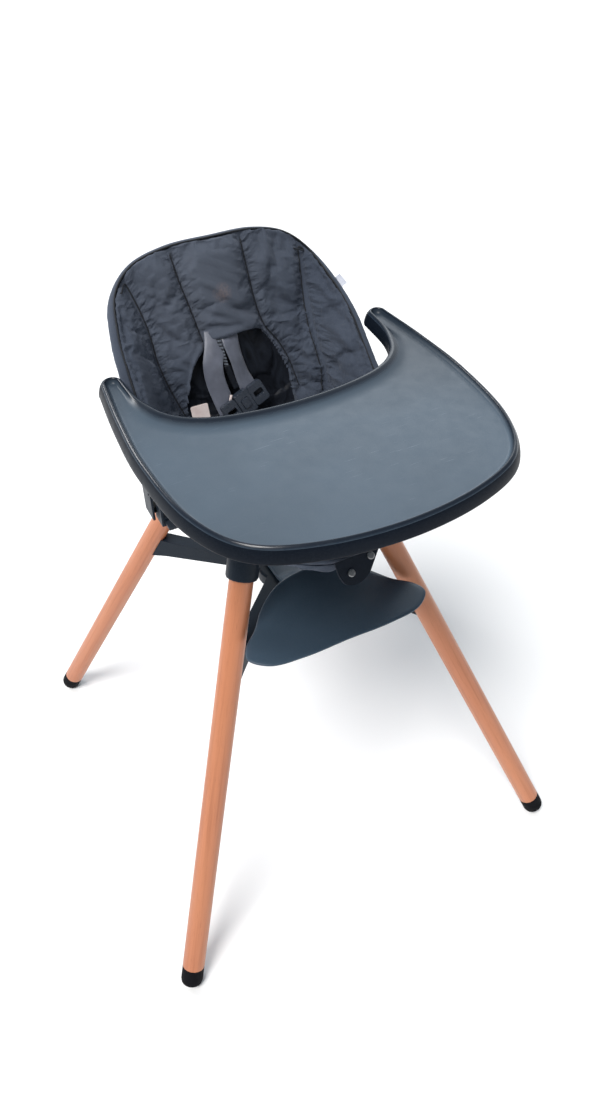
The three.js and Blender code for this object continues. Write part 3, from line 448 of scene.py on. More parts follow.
def webbing():
    """Smooth black webbing with a satin sheen and fine ribs across it."""
    s = Surface("webbing", (0.06, 0.068, 0.09), 0.34, Specular_IOR_Level=0.9, Sheen_Weight=0.3)
    rib = s.bands("Z", (420, 420, 420), 0.4)
    fine = s.bands("X", (900, 900, 900), 0.4)
    cloud = s.noise(30, 3, 0.6)
    s.color(s.mixed(s.remap(cloud, 0.3, 0.7), (0.078, 0.087, 0.118), (0.145, 0.16, 0.21)))
    s.roughness(s.remap(cloud, 0.3, 0.7, 0.28, 0.42))
    s.bump(rib, 0.00014, 0.4)
    s.bump(fine, 0.00006, 0.4)
    s.bump(s.noise(70, 2, 0.5), 0.0006, 0.2)
    return s.material


def lining():
    """The slippery lining in the recess behind the buckle, near-black as painted shade of the recess."""
    s = Surface("satin_lining_painted_shade", (0.009, 0.011, 0.018), 0.5, Sheen_Weight=0.02, Specular_IOR_Level=0.18)
    creases = s.noise(1, 4, 0.6, s.mapped((60, 60, 24)), 1.2)
    # Painted shade: darker where the creases' bump sinks them.
    s.color(s.mixed(s.remap(creases, 0.35, 0.7), (0.003, 0.004, 0.007), (0.014, 0.018, 0.027)))
    s.roughness(s.remap(creases, 0.3, 0.7, 0.46, 0.62))
    s.bump(creases, 0.0016, 0.5)
    s.bump(s.noise(900, 2, 0.5), 0.0001, 0.3)
    return s.material


def steel(name, bright=1.0):
    """Brushed metal."""
    s = Surface(name, (0.55, 0.56, 0.58), 0.34, Metallic=1.0)
    brushed = s.noise(1, 3, 0.6, s.mapped((900, 900, 90)))
    dull, clean = ((c * bright for c in tone) for tone in ((0.45, 0.46, 0.48), (0.68, 0.69, 0.7)))
    s.color(s.mixed(s.remap(brushed, 0.3, 0.7), tuple(dull), tuple(clean)))
    s.roughness(s.remap(brushed, 0.3, 0.7, 0.26, 0.44))
    s.bump(brushed, 0.00004, 0.4)
    return s.material


def rubber():
    """Black rubber, dusty near the floor."""
    s = Surface("foot_rubber", (0.004, 0.004, 0.006), 0.78, Specular_IOR_Level=0.1)
    dust = s.noise(120, 4, 0.65)
    scuffed = s.math("MULTIPLY", s.remap(s.axis("Z"), 0.0, 0.02, 1, 0), s.remap(dust, 0.4, 0.7))
    s.color(s.mixed(s.math("MULTIPLY", scuffed, 0.6), (0.005, 0.005, 0.007), (0.05, 0.048, 0.046)))
    s.roughness(s.remap(dust, 0.3, 0.7, 0.66, 0.88))
    s.bump(s.noise(1800, 2, 0.5), 0.0001, 0.5)
    return s.material


def label_cloth(name, dull, bright):
    """Pale woven satin, as of a sewn-in label, with nothing on it."""
    s = Surface(name, bright, 0.6, Sheen_Weight=0.2)
    warp = s.bands("Z", (900, 900, 900), 0.6)
    cloud = s.noise(60, 3, 0.6)
    s.color(s.mixed(s.remap(cloud, 0.3, 0.7), dull, bright))
    s.bump(warp, 0.0001, 0.5)
    s.bump(s.noise(160, 2, 0.5), 0.0004, 0.3)
    return s.material


def thread():
    """Dark twisted thread."""
    s = Surface("sewing_thread", (0.012, 0.014, 0.018), 0.7)
    twist = s.bands("DIAGONAL", (1300, 1300, 1300))
    s.color(s.mixed(twist, (0.007, 0.008, 0.011), (0.022, 0.025, 0.032)))
    s.bump(twist, 0.0002, 0.6)
    return s.material


def stitching():
    """A narrow tape sewn across with pale thread, so that it is banded light and dark."""
    s = Surface("bar_tacks", (0.1, 0.12, 0.15), 0.5)
    tacks = s.remap(s.bands("Z", (1, 1, 78), 0.6, turn=(0, 0.25, 0)), 0.45, 0.6)
    pale = s.math("MULTIPLY", tacks, s.remap(s.noise(700, 3, 0.6), 0.3, 0.6))
    s.color(s.mixed(pale, (0.01, 0.012, 0.018), (0.16, 0.185, 0.225)))
    s.bump(tacks, 0.0006, 0.6)
    return s.material


BEECH = beech()
# The tray: darker on the rim's top, with painted shade towards its arms.
TRAY_PLASTIC = moulded(
    "tray_plastic", (0.058, 0.088, 0.122), 0.4, depth=0.00008, scuffs=0.5, gloss=0.4,
    rim_and_arm_shade=(0.7885, 0.7925, (0.01, 0.016, 0.027)),
)
# The tray's outer wall: a much darker copy of its plastic, painted shade.
SHADED_SKIRT_PLASTIC = moulded("tray_skirt_painted_shade", (0.003, 0.006, 0.012), 0.4, gloss=0.08)
FOOTREST_PLASTIC = moulded("footrest_plastic", (0.043, 0.071, 0.104), 0.36, grain=1300, speckle=0.08)
FRAME_PLASTIC = moulded("frame_plastic", (0.007, 0.013, 0.022), 0.42, grain=1300, gloss=0.14)
SHELL_PLASTIC = moulded("shell_plastic", (0.012, 0.018, 0.027), 0.45, gloss=0.2)
BUCKLE_PLASTIC = moulded("buckle_plastic", (0.026, 0.034, 0.05), 0.28, grain=1800, gloss=0.5)
COTTON = cotton("cotton_cover")
# The flap under the tray's front: a darker copy of the cotton, painted shade.
SHADED_COTTON = cotton("cotton_flap_painted_shade", sheen=0.05, wear_shown=0.0, painted_shade=0.75)
WEBBING = webbing()
STITCHING = stitching()
# A real lining, its near-black tone painted shade of the recess; the strap's tail there takes it too.
SHADED_LINING = lining()
STEEL = steel("zinc_steel")
# The snaps under the tray's front: a darker copy of the steel, painted shade.
SHADED_NICKEL = steel("nickel_painted_shade", bright=0.45)
RUBBER = rubber()
LABEL = label_cloth("label_satin", (0.8, 0.66, 0.63), (0.94, 0.83, 0.8))
TAG_CLOTH = label_cloth("tag_satin", (0.5, 0.53, 0.62), (0.68, 0.71, 0.8))
THREAD = thread()


def finish_piece(obj, material, body, replaces=()):
    """Gives a new piece its material, its body and the CAD nodes it stands for."""
    obj.data.materials.clear()
    obj.data.materials.append(material)
    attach(obj, body)
    if replaces:
        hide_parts(*replaces)
    return obj


def dress(node, material, bevel=0.0):
    """Keeps a CAD node: smooth shading, softened edges and a new material."""
    obj = NODES[node]
    obj.data.materials.clear()
    obj.data.materials.append(material)
    obj.data.polygons.foreach_set("material_index", [0] * len(obj.data.polygons))
    obj.data.polygons.foreach_set("use_smooth", [True] * len(obj.data.polygons))
    modifier(obj, "WELD", merge_threshold=0.00001)
    if bevel:
        sharp = math.radians(32)
        modifier(obj, "BEVEL", width=bevel * MM, segments=2, limit_method="ANGLE", angle_limit=sharp)
    modifier(obj, "WEIGHTED_NORMAL", keep_sharp=True)


# ---- carried-over frame ------------------------------------------------------------------------------
SIDES = ("front_left", "front_right", "rear_left", "rear_right")
HANDS = ("left", "right")
PER_SIDE = [
    ("leg_", BEECH, 0), ("foot_", RUBBER, 0.5), ("collar_", FRAME_PLASTIC, 0.3), ("leg_stud_", STEEL, 0),
    ("brace_screw_", STEEL, 0.3),
]
PER_HAND = [
    ("footrest_screw_", STEEL, 0.3), ("seat_screw_front_", STEEL, 0.3), ("seat_screw_rear_", STEEL, 0.3),
    ("tray_rail_", SHELL_PLASTIC, 0.5), ("tray_bracket_", FRAME_PLASTIC, 0.5),
    ("tray_latch_", FRAME_PLASTIC, 0.5), ("latch_spring_", STEEL, 0), ("latch_pin_", STEEL, 0),
    ("buckle_tongue_", BUCKLE_PLASTIC, 0.8),
]
for places, pieces in ((SIDES, PER_SIDE), (HANDS, PER_HAND)):
    for place in places:
        for start, material, bevel in pieces:
            dress(start + place, material, bevel)
dress("seat_base", FRAME_PLASTIC, 1.0)
dress("cross_brace", FRAME_PLASTIC, 1.6)
dress("buckle_body", BUCKLE_PLASTIC, 0.9)
dress("buckle_button", BUCKLE_PLASTIC, 0.5)


# ---- tray --------------------------------------------------------------------------------------------
def from_middle(pairs, span_steps):
    """A curve that leaves the middle line squarely, so that it meets its mirror image smoothly."""
    x, y = pairs[1]
    return catmull([(-x, y), *pairs], span_steps * len(pairs) + 1)[span_steps:]


def tray_outline():
    cx, cy, radius = ARM_TIP
    turns = [n * math.pi / 24 for n in range(1, 24)]
    tip = [(cx + radius * math.cos(t), cy + radius * math.sin(t)) for t in turns]
    half = [*from_middle(TRAY_OUTER, 15), *tip, *from_middle(TRAY_INNER[::-1], 12)[::-1]]
    return even_spacing(np.array(mirrored(half)), TRAY_STATIONS)


def tray():
    """The tray as one skin: the profile swept round the outline, and two flat faces."""
    outline = tray_outline()
    along = np.roll(outline, -1, 0) - np.roll(outline, 1, 0)
    for _ in range(6):
        along = (np.roll(along, 1, 0) + along + np.roll(along, -1, 0)) / 3
    along = unit(along)
    inwards = np.stack([-along[:, 1], along[:, 0]], 1)
    x, y = outline.T
    on_cutout = (inwards[:, 1] < -0.02) | (np.abs(x) < CUTOUT_HALF)
    on_cutout &= (y > CUTOUT_EDGE) & (np.abs(x) < ARM_INSIDE)
    lip = np.where(on_cutout, 1 - smoothstep(y, *LIP_ENDS), 0)
    rows = []
    for (rim_in, rim_z), (lip_in, lip_z) in zip(RIM_PROFILE, LIP_PROFILE):
        inset = rim_in + (lip_in - rim_in) * lip
        height = rim_z + (lip_z - rim_z) * lip
        rows.append(np.column_stack([outline + inwards * inset[:, None], TRAY_TOP + height]))
    made = mesh_object("tray_top", np.vstack(rows), loop_faces(len(rows), TRAY_STATIONS, capped=True))
    bm = bmesh.new()
    bm.from_mesh(made.data)
    bmesh.ops.triangulate(bm, faces=[f for f in bm.faces if len(f.verts) > 4])
    bm.to_mesh(made.data)
    bm.free()
    finish_piece(made, TRAY_PLASTIC, TRAY, ["tray_body"])
    # The skirt's faces take the darker copy of the plastic, painted shade.
    made.data.materials.append(SHADED_SKIRT_PLASTIC)
    for face in made.data.polygons:
        if len(face.vertices) == 4 and min(face.vertices) < SKIRT_ROWS * TRAY_STATIONS:
            face.material_index = 1


tray()


# ---- footrest ----------------------------------------------------------------------------------------
FOOTREST_HALF = [
    (0, -205), (62, -206), (112, -200), (134, -180), (128, -160), (106, -138), (80, -107),
    (46, -84), (0, -76),
]
FOOTREST_TOP = 499  # the height of its middle
FOOTREST_MIDDLE = np.array([0, -146.0])
FOOTREST_STATIONS = 220
# The plate's section from its middle to its edge: (part of the way out, depth under the top).
FOOTREST_EDGE = [(0.94, 0), (0.985, 0.35), (1, 1.3), (1, 2.7), (0.985, 3.65), (0.94, 4)]
FOOTREST_UPPER = [(f, 0) for f in (0.06, 0.18, 0.3, 0.45, 0.6, 0.72, 0.82, 0.89)]
FOOTREST_LOWER = [(f, 4) for f in (0.82, 0.68, 0.5, 0.3, 0.1)]

NECK_LINE = [
    (-112, 494.5), (-100, 496), (-88, 495.5), (-72, 490), (-54, 478), (-38, 467.5), (-24, 464.4),
    (16, 464.4),
]
NECK_CORNERS = [(18.5, 0.5), (-18.5, 0.5), (-18.5, -0.5), (18.5, -0.5)]
NECK_ROUND = 3.5


def footrest_height(x, y):
    """The plate's top: it curls up at the back and at both sides."""
    back = np.clip((y + 160) / 84, 0, 1)
    return FOOTREST_TOP + 15 * back**2 + 4 * np.abs(x / 137) ** 3


def footrest_plate():
    outline = [(x, y, 0) for x, y in mirrored(FOOTREST_HALF)]
    loop = catmull(outline, FOOTREST_STATIONS, True, True)[:, :2]
    rows = []
    for fraction, down in FOOTREST_UPPER + FOOTREST_EDGE + FOOTREST_LOWER:
        flat = FOOTREST_MIDDLE + (loop - FOOTREST_MIDDLE) * fraction
        rows.append(np.column_stack([flat, footrest_height(*flat.T) - down]))
    faces = loop_faces(len(rows), FOOTREST_STATIONS, capped=True)
    return mesh_object("footrest_plate", np.vstack(rows), faces)


def footrest_neck():
    path = catmull([(0, y, z) for y, z in NECK_LINE], 40)
    across = np.array([1.0, 0, 0])
    out = np.cross(across, unit(np.gradient(path, axis=0)))
    section = []
    for quarter, (cx, cz) in enumerate(NECK_CORNERS):
        for n in range(4):
            turn = math.radians(90 * quarter + 30 * n)
            section.append((cx + NECK_ROUND * math.cos(turn), cz + NECK_ROUND * math.sin(turn)))
    wide, high = np.array(section).T[:, None, :, None]
    points = path[:, None] + wide * across + high * out[:, None]
    faces = loop_faces(len(path), len(section), capped=True)
    return mesh_object("footrest_neck", points.reshape(-1, 3), faces)


for made in (footrest_plate(), footrest_neck()):
    finish_piece(made, FOOTREST_PLASTIC, CHAIR, ["footrest"])


# ---- bucket surface ----------------------------------------------------------------------------------
class Bucket:
    """The shell's outer face as a grid of stations round and rows down, from rim to pan."""

    def __init__(self, stations, wall_rows, bend_rows, pan_rows):
        rim = catmull(mirrored(RIM), stations, True, True)
        foot = catmull(mirrored(FOOT), stations, True, True)
        rows = []
        length = np.linalg.norm(rim - foot, axis=1)[:, None]
        wall_end = foot + (rim - foot) * np.minimum(0.5, BIGHT / length)
        reach = np.linalg.norm(PAN_CENTRE - foot, axis=1)[:, None]
        pan_start = foot + (PAN_CENTRE - foot) * (BIGHT / reach)
        for f in np.linspace(0, 1, wall_rows, endpoint=False):
            rows.append(rim + (wall_end - rim) * f)
        for t in np.linspace(0, 1, bend_rows + 1):
            rows.append(wall_end * (1 - t) ** 2 + 2 * foot * t * (1 - t) + pan_start * t**2)
        for f in np.linspace(0, 0.97, pan_rows + 1)[1:]:
            rows.append(pan_start + (PAN_CENTRE - pan_start) * f)
        self.grid = np.array(rows)
        self.rows, self.stations = self.grid.shape[:2]
        across = np.roll(self.grid, -1, 1) - np.roll(self.grid, 1, 1)
        down = np.gradient(self.grid, axis=0)
        normal = unit(np.cross(across, down))
        towards = ((TOWARDS_SITTER - self.grid) * normal).sum(2)
        normal[towards < 0] *= -1
        for _ in range(3):
            normal = unit((np.roll(normal, 1, 1) + 2 * normal + np.roll(normal, -1, 1)) / 4)
        self.normal = normal
        self.up = unit(self.grid[0] - self.grid[1])
        self.wall = np.linalg.norm(rim - wall_end, axis=1)

    def face(self, row, offset):
        """A row moved towards the sitter."""
        return self.grid[row] + self.normal[row] * offset


def skin(name, rows):
    """A closed skin from loops of points, capped by a fan at each end."""
    count = len(rows[0])
    points = np.vstack([*rows, rows[0].mean(0)[None], rows[-1].mean(0)[None]])
    faces = loop_faces(len(rows), count)
    first, last = len(rows) * count, len(rows) * count + 1
    base = (len(rows) - 1) * count
    for c in range(count):
        d = (c + 1) % count
        faces.append((first, d, c))
        faces.append((last, base + c, base + d))
    return mesh_object(name, points, faces)


SHELL_CROWN = 0.9  # how far the rounded edge stands over the rim


def shell():
    b = Bucket(200, 7, 8, 5)
    inner = [b.face(r, SHELL_WALL) for r in reversed(range(b.rows))]
    top = [b.face(0, SHELL_WALL * part) + b.up * SHELL_CROWN for part in (0.85, 0.15)]
    outer = [b.face(r, 0) for r in range(b.rows)]
    made = skin("shell", inner + top + outer)
    finish_piece(made, SHELL_PLASTIC, CHAIR, ["seat_shell"])


shell()


# ---- cover -------------------------------------------------------------------------------------------
# Sewn lines up the back, as (x, z) in mm. Each is drawn on whatever stands in front of the shell there.
SEAMS = {
    "left_outer": [(-132, 872), (-119, 848), (-106, 797), (-103, 752), (-95, 716), (-82, 676)],
    "left_inner": [(-58, 889), (-53, 850), (-44, 806), (-37, 766)],
    "right_inner": [(40, 890), (44, 843), (48, 800), (56, 766), (72, 742), (85, 712), (92, 676)],
    "right_outer": [(126, 870), (124, 842), (121, 800), (118, 752), (121, 703), (119, 672)],
}
SEAMS_FROM = 62  # the seams lie on the back, behind this y

# The top of the recess behind the buckle, as (x, z) in mm.
RECESS_TOP = [
    (-76, 690), (-73, 708), (-63, 738), (-48, 757), (-24, 769), (15, 775), (46, 769), (66, 742),
    (80, 706),
]

# Creases in the padding: each runs from (x, z) to (x, z), with a height and a half-width in mm.
CREASES = [
    ((-34, 846), (30, 800), 1.5, 7), ((-42, 812), (26, 790), 1.2, 6),
    ((-40, 792), (44, 783), 1.5, 6), ((-20, 876), (24, 822), 0.9, 8),
    ((52, 868), (60, 790), 1.3, 9), ((60, 830), (108, 782), 1.3, 8),
    ((52, 792), (112, 748), 1.6, 8), ((78, 768), (118, 700), 1.5, 8),
    ((70, 735), (112, 722), 1.2, 6), ((-100, 806), (-60, 772), 1.4, 7),
    ((-96, 768), (-50, 742), 1.4, 6), ((-92, 738), (-66, 704), 1.3, 6),
    ((-112, 842), (-64, 824), 1.0, 6), ((128, 812), (160, 772), 1.4, 8),
    ((126, 770), (158, 728), 1.6, 9), ((-128, 800), (-110, 742), 1.2, 6),
    ((-132, 752), (-104, 706), 1.3, 7), ((124, 728), (150, 700), 1.4, 8),
]
SEAM_CURVES = {name: catmull(pairs, 60) for name, pairs in SEAMS.items()}
RECESS_CURVE = catmull(RECESS_TOP, 80)
FAR = 1e9


def nearest_on_run(points, line):
    """How far points are from a run of points, on which side, and how far along it they are."""
    best = np.full(len(points), FAR)
    side = np.zeros(len(points))
    along = np.zeros(len(points))
    travelled = 0.0
    for a, b in zip(line[:-1], line[1:]):
        d = b - a
        t = np.clip(((points - a) @ d) / (d @ d), 0, 1)
        away = points - a - t[:, None] * d
        distance = np.linalg.norm(away, axis=1)
        closer = distance < best
        best = np.where(closer, distance, best)
        if points.shape[1] == 2:
            side = np.where(closer, np.sign(away[:, 0] * d[1] - away[:, 1] * d[0]), side)
        length = np.linalg.norm(d)
        along = np.where(closer, travelled + t * length, along)
        travelled += length
    return best, side, along


def seam_field(points):
    """The nearest seam's distance and the place along it, for points of the back."""
    near = np.full(len(points), FAR)
    along = np.zeros(len(points))
    for number, curve in enumerate(SEAM_CURVES.values()):
        distance, side, place = nearest_on_run(points[:, [0, 2]], curve)
        closer = distance < near
        near = np.where(closer, distance, near)
        along = np.where(closer, place + 160 * number + 37 * side, along)
    near[points[:, 1] < SEAMS_FROM] = FAR
    return near, along


def folds(points):
    """How far the creases lift the cloth."""
    flat = points[:, [0, 2]]
    total = np.zeros(len(points))
    for start, end, height, width in CREASES:
        a, d = np.array(start, float), np.subtract(end, start).astype(float)
        length = np.linalg.norm(d)
        t = (flat - a) @ d / length**2
        across = ((flat - a) @ np.array([-d[1], d[0]])) / length
        across = across + 0.12 * length * np.sin(2.2 * t) * (t - 0.5)
        fade = np.clip(np.sin(np.pi * np.clip(t, 0, 1)), 0, 1) ** 0.7
        total += height * 1.6 * (across / width) * np.exp(-((across / width) ** 2)) * fade
    return total


LINER_SWELL = [7.5, 8.5, 9.5, 10.5, 11]  # its thickness on the first rows under the rim
LINER_THICK = 11.5
LINER_BACK = 1.5  # the gap behind it
LINER_EDGE = [(6.5, 2.4), (4, 3.6), (1.8, 2.4)]  # its rounded edge: (from the shell, over the rim)


def liner_body(b):
    """The padded panel before it is filled: a thin closed body over the shell's inside."""
    swell = LINER_SWELL + [LINER_THICK] * (b.rows - len(LINER_SWELL))
    front = [b.face(r, SHELL_WALL + swell[r]) for r in reversed(range(b.rows))]
    edge = [b.face(0, SHELL_WALL + off) + b.up * up for off, up in LINER_EDGE]
    back = [b.face(r, SHELL_WALL + LINER_BACK) for r in range(b.rows)]
    return skin("cover_liner", front + edge + back)


CLOTH_FRAMES = 20
CLOTH_CAP = 8.0  # how far a point may move
PINNED_GAP = 4.5  # the cloth nearer the shell than this is held
PINNED_SEAM = 2.6  # and so is the cloth this near a seam


def simulate(obj, pinned):
    """Fills a closed body like a pillow, holding the pinned points still."""
    rest = coordinates(obj)
    group = obj.vertex_groups.new(name="pin")
    group.add(np.flatnonzero(pinned).tolist(), 1.0, "REPLACE")
    cloth = modifier(obj, "CLOTH")
    settings = cloth.settings
    settings.quality = 5
    settings.mass = 0.25
    settings.tension_stiffness = 12
    settings.compression_stiffness = 12
    settings.shear_stiffness = 4
    settings.bending_stiffness = 0.3
    settings.use_pressure = True
    settings.uniform_pressure_force = 4
    settings.shrink_min = -0.08
    settings.vertex_group_mass = "pin"
    settings.effector_weights.gravity = 0
    cloth.collision_settings.use_collision = False
    cloth.point_cache.frame_start = 1
    cloth.point_cache.frame_end = CLOTH_FRAMES
    scene = bpy.context.scene
    for number in range(1, CLOTH_FRAMES + 1):
        scene.frame_set(number)
    graph = bpy.context.evaluated_depsgraph_get()
    done = obj.evaluated_get(graph)
    moved = coordinates(done) - rest
    obj.modifiers.clear()
    scene.frame_set(1)
    length = np.linalg.norm(moved, axis=1)[:, None]
    moved *= np.minimum(1, CLOTH_CAP / np.maximum(length, 1e-6))
    set_coordinates(obj, rest + moved)


def cover_liner():
    """The padding, filled by a cloth simulation and then sewn."""
    obj = liner_body(Bucket(120, 10, 8, 8))
    modifier(obj, "REMESH", mode="VOXEL", voxel_size=4 * MM)
    bake_modifiers(obj)
    shell_tree = BVHTree.FromObject(bpy.data.objects["shell"], bpy.context.evaluated_depsgraph_get())
    rest = coordinates(obj)
    gap = np.array([shell_tree.find_nearest(Vector(p * MM))[3] for p in rest]) / MM
    seam, _ = seam_field(rest)
    simulate(obj, (gap < PINNED_GAP) | (seam < PINNED_SEAM))
    modifier(obj, "SUBSURF", levels=1, render_levels=1)
    bake_modifiers(obj)
    return sew(obj, shell_tree)


GROOVE = ((6.4, 3.2), (4.4, 12))  # a seam's groove and the slope beside it: depth and width
PUCKER = 1.5
RIM_PUCKER = 0.8
FOLD_LIFT = 1.9
LEDGE = 3.0  # the roll of padding over the recess
RECESS_SINK = 10.0
CLOTH_AIR = 1.6  # the least that the cloth stands off the shell
LINING_AIR = 3.2  # and how much more it does in the recess


def sew(obj, shell_tree):
    """Pulls the seams in, puckers the cloth beside them, and sinks the recess behind the buckle."""
    points = coordinates(obj)
    found = [shell_tree.find_nearest(Vector(p * MM)) for p in points]
    nearest = np.array([f[0][:] for f in found]) / MM
    away = points - nearest
    gap = np.linalg.norm(away, axis=1)
    away /= np.maximum(gap, 1e-6)[:, None]
    outer = smoothstep(gap, 3.0, 7.0)
    x, y, z = points.T
    back = smoothstep(y, 50, 76) * outer
    seam, along = seam_field(points)
    rim_line = Bucket(240, 10, 2, 2).grid[0]
    rim_line = np.vstack([rim_line, rim_line[:1]])
    edge, _, round_rim = nearest_on_run(points, rim_line)
    top = np.interp(x, *RECESS_CURVE.T, left=-FAR, right=-FAR)
    inside = smoothstep(top - z, -0.5, 2.6) * smoothstep(y, 30, 52) * smoothstep(z, 646, 664)

    groove = sum(depth * np.exp(-((seam / width) ** 2)) for depth, width in GROOVE)
    close = np.clip(seam / 3.0, 0, 1)
    wrinkle = ripple((along + 0.55 * seam) / 2.6, seed=1.3) + 0.6 * ripple(along / 1.5, seed=3.8)
    pucker = PUCKER * close * np.exp(-((seam / 14) ** 2)) * wrinkle
    rim_wrinkle = ripple((round_rim + 0.5 * edge) / 2.4, seed=5.2)
    rim_pucker = RIM_PUCKER * smoothstep(edge, 5, 9) * np.exp(-((edge / 20) ** 2)) * rim_wrinkle
    crease = 0.8 * ripple(x / 21 + z / 33, z / 17, seed=2.1)
    crease += 0.5 * ripple(x / 8 + z / 13, z / 10, y / 15, seed=4.2)
    lift = (pucker - groove + folds(points) * FOLD_LIFT) * back * (1 - inside)
    lift += (crease * (1 - 0.6 * inside) + rim_pucker) * outer
    lift += 1.4 * outer * smoothstep(-y, -60, 20) * ripple(y / 13, z / 15, x / 17, seed=0.7)
    ledge = np.exp(-(((z - top - 4.5) / 5.0) ** 2)) * outer * (y > 60) * (z < 790)
    lift += LEDGE * ledge
    sunk = outer * inside
    lining = 2.2 * smoothstep(x, 12, 26) * ripple(x / 13 + z / 70, z / 60, seed=6.4)
    lift += sunk * (lining - RECESS_SINK)
    lift = np.maximum(lift, CLOTH_AIR + LINING_AIR * sunk - gap)
    set_coordinates(obj, points + away * lift[:, None])
    finish_piece(obj, COTTON, CHAIR, ["seat_cover"])
    # The recess's faces take the near-black lining, painted shade.
    obj.data.materials.append(SHADED_LINING)
    for face in obj.data.polygons:
        if min(sunk[v] for v in face.vertices) > 0.45:
            face.material_index = 1
    return obj


liner = cover_liner()
bpy.context.view_layer.update()
liner_tree = BVHTree.FromObject(liner, bpy.context.evaluated_depsgraph_get())


def onto_liner(x, z, proud):
    """The point of the liner that the sitter's back would meet at (x, z), moved out by proud."""
    hit, normal, _, _ = liner_tree.ray_cast(Vector((x, -60, z)) * MM, Vector((0, 1, 0)))
    if hit is None:
        hit, normal, _, _ = liner_tree.find_nearest(Vector((x, 150, z)) * MM)
    if normal.y > 0:
        normal = -normal
    return np.array(hit) / MM + np.array(normal) * proud


# The band over the rim in section: (offset from the shell's outer face, height over the rim).
BAND_SECTION = [
    (6.4, 2.2), (5.6, 3.8), (3.6, 5.2), (0.8, 5.6), (-1.8, 4.8), (-4.0, 2.4), (-5.2, -1.6),
]
PIPING_AT = (6.9, 3.6)
PIPING_RADIUS = 1.25
SKIRT_THICK = 1.3
FRONT_DROP = 12  # the least that the skirt hangs


def cover_edge():
    """The narrow band rolled over the rim and the gathered skirt that hangs outside, as one sheet
    with a thickness, and the piping between the band and the padding."""
    b = Bucket(360, 10, 8, 4)
    angle = np.arange(b.stations) * 2 * math.pi / b.stations
    gather = 0.55 * ripple(angle * 61, seed=0.4) + 0.45 * ripple(angle * 97, seed=2.9)
    full = 1 + 0.35 * smoothstep(b.grid[0][:, 2], 720, 840)
    outer_rows = []
    for k, (offset, up) in enumerate(BAND_SECTION):
        fold = 0.4 * gather * smoothstep(k, 0, 4)
        out = offset * np.where(offset < 0, full, 1.0) - fold
        outer_rows.append(b.grid[0] + b.normal[1] * out[:, None] + b.up * up)
    # Where the wall lies flat, at the front, the cloth hangs straight down from the roll instead.
    flat = (1 - smoothstep(b.up[:, 2], 0.4, 0.9))[:, None]
    round_rim = np.roll(b.grid[0], -1, 0) - np.roll(b.grid[0], 1, 0)
    upright = np.array([0, 0, 1.0])
    level = unit(np.cross(round_rim, upright))
    level *= np.sign((level * (PAN_CENTRE - b.grid[0])).sum(1))[:, None]
    along = unit(b.up * (1 - flat) + upright * flat)
    inwards = unit(b.normal[1] * (1 - flat) + level * flat)
    drop = np.maximum(np.minimum(HEM_DROP, 0.6 * b.wall), FRONT_DROP)
    for f in np.linspace(0.08, 1, 14):
        fold = (0.4 + 1.5 * f) * ripple(angle * 61 + 1.8 * f, f * 2.0, seed=0.4)
        fold += 0.5 * f * ripple(angle * 143, f * 4, seed=3.1)
        bulge = (-4.6 - 0.8 * math.sin(math.pi * f)) * full + 1.2 * f
        hem = 1.6 * f * ripple(angle * 31, seed=5.0)
        height = -drop * f - 2.0 + hem
        outer_rows.append(b.grid[0] + inwards * (bulge + fold)[:, None] + along * height[:, None])
    inner_rows = []
    over_top = len(BAND_SECTION) - 1
    for k in reversed(range(len(outer_rows))):
        row = outer_rows[k]
        if k < 2:
            inner_rows.append(row - b.normal[1] * SKIRT_THICK)
        elif k < over_top:
            inner_rows.append(row - b.up * SKIRT_THICK)
        else:
            inner_rows.append(row + inwards * SKIRT_THICK)
    rows = outer_rows + inner_rows
    made = mesh_object("cover_skirt", np.vstack(rows), loop_faces(len(rows), b.stations, closed=True))
    finish_piece(made, COTTON, CHAIR, ["seat_cover"])
    line = b.grid[0] + b.normal[1] * PIPING_AT[0] + b.up * PIPING_AT[1]
    piping = tube("cover_piping", even_spacing(line, 420), PIPING_RADIUS, 8, closed=True)
    finish_piece(piping, THREAD, CHAIR)


cover_edge()


SEAM_TOP = 880  # the seams vanish under the band above this
THREAD_RADIUS = 1.0
THREAD_PROUD = 0.1


def seam_threads():
    """A dark sewn line at the bottom of each groove."""
    for name, curve in SEAM_CURVES.items():
        points = np.array([onto_liner(x, z, THREAD_PROUD) for x, z in curve if z < SEAM_TOP])
        for _ in range(2):
            points[1:-1] = (points[:-2] + points[1:-1] + points[2:]) / 3
        made = tube("seam_" + name, points, THREAD_RADIUS, 6, normal=(0, -1, 0.3))
        finish_piece(made, THREAD, CHAIR)


seam_threads()


# ---- harness -----------------------------------------------------------------------------------------
STRAP_WIDTH = 25
STRAP_THICK = 1.5
STRAP_STATIONS = 44
# Each strap's route: a run of (x, y, z, how far it is twisted in degrees).
HARNESS = {
    "strap_left": [
        (-22, 141, 780, 0), (-28, 128, 764, 8), (-36, 118, 744, 16), (-36, 112, 722, 14),
        (-32, 103, 700, 6), (-27, 95, 680, 0),
    ],
    "strap_right": [
        (-2, 141, 780, 0), (-3, 128, 765, -14), (0, 119, 745, -28), (4, 112, 722, -22),
        (9, 104, 704, 0),
    ],
    "strap_stitching": [(-20, 132, 773, 0), (-19, 123, 757, 30), (-17, 115.5, 738, 30)],
    "strap_tail": [(-17, 114.5, 740, 10), (-14, 110, 724, 12), (-9, 106, 708, 8)],
    "strap_loose_end": [(-20, 100, 703, 20), (-23, 97.5, 696, -10), (-24, 95, 690, 20)],
    "strap_crotch": [
        (-3, 88, 667, 0), (-2, 76, 651, 0), (-1, 60, 645.5, 0), (0, 20, 644, 0), (0, -20, 643, 0),
    ],
}


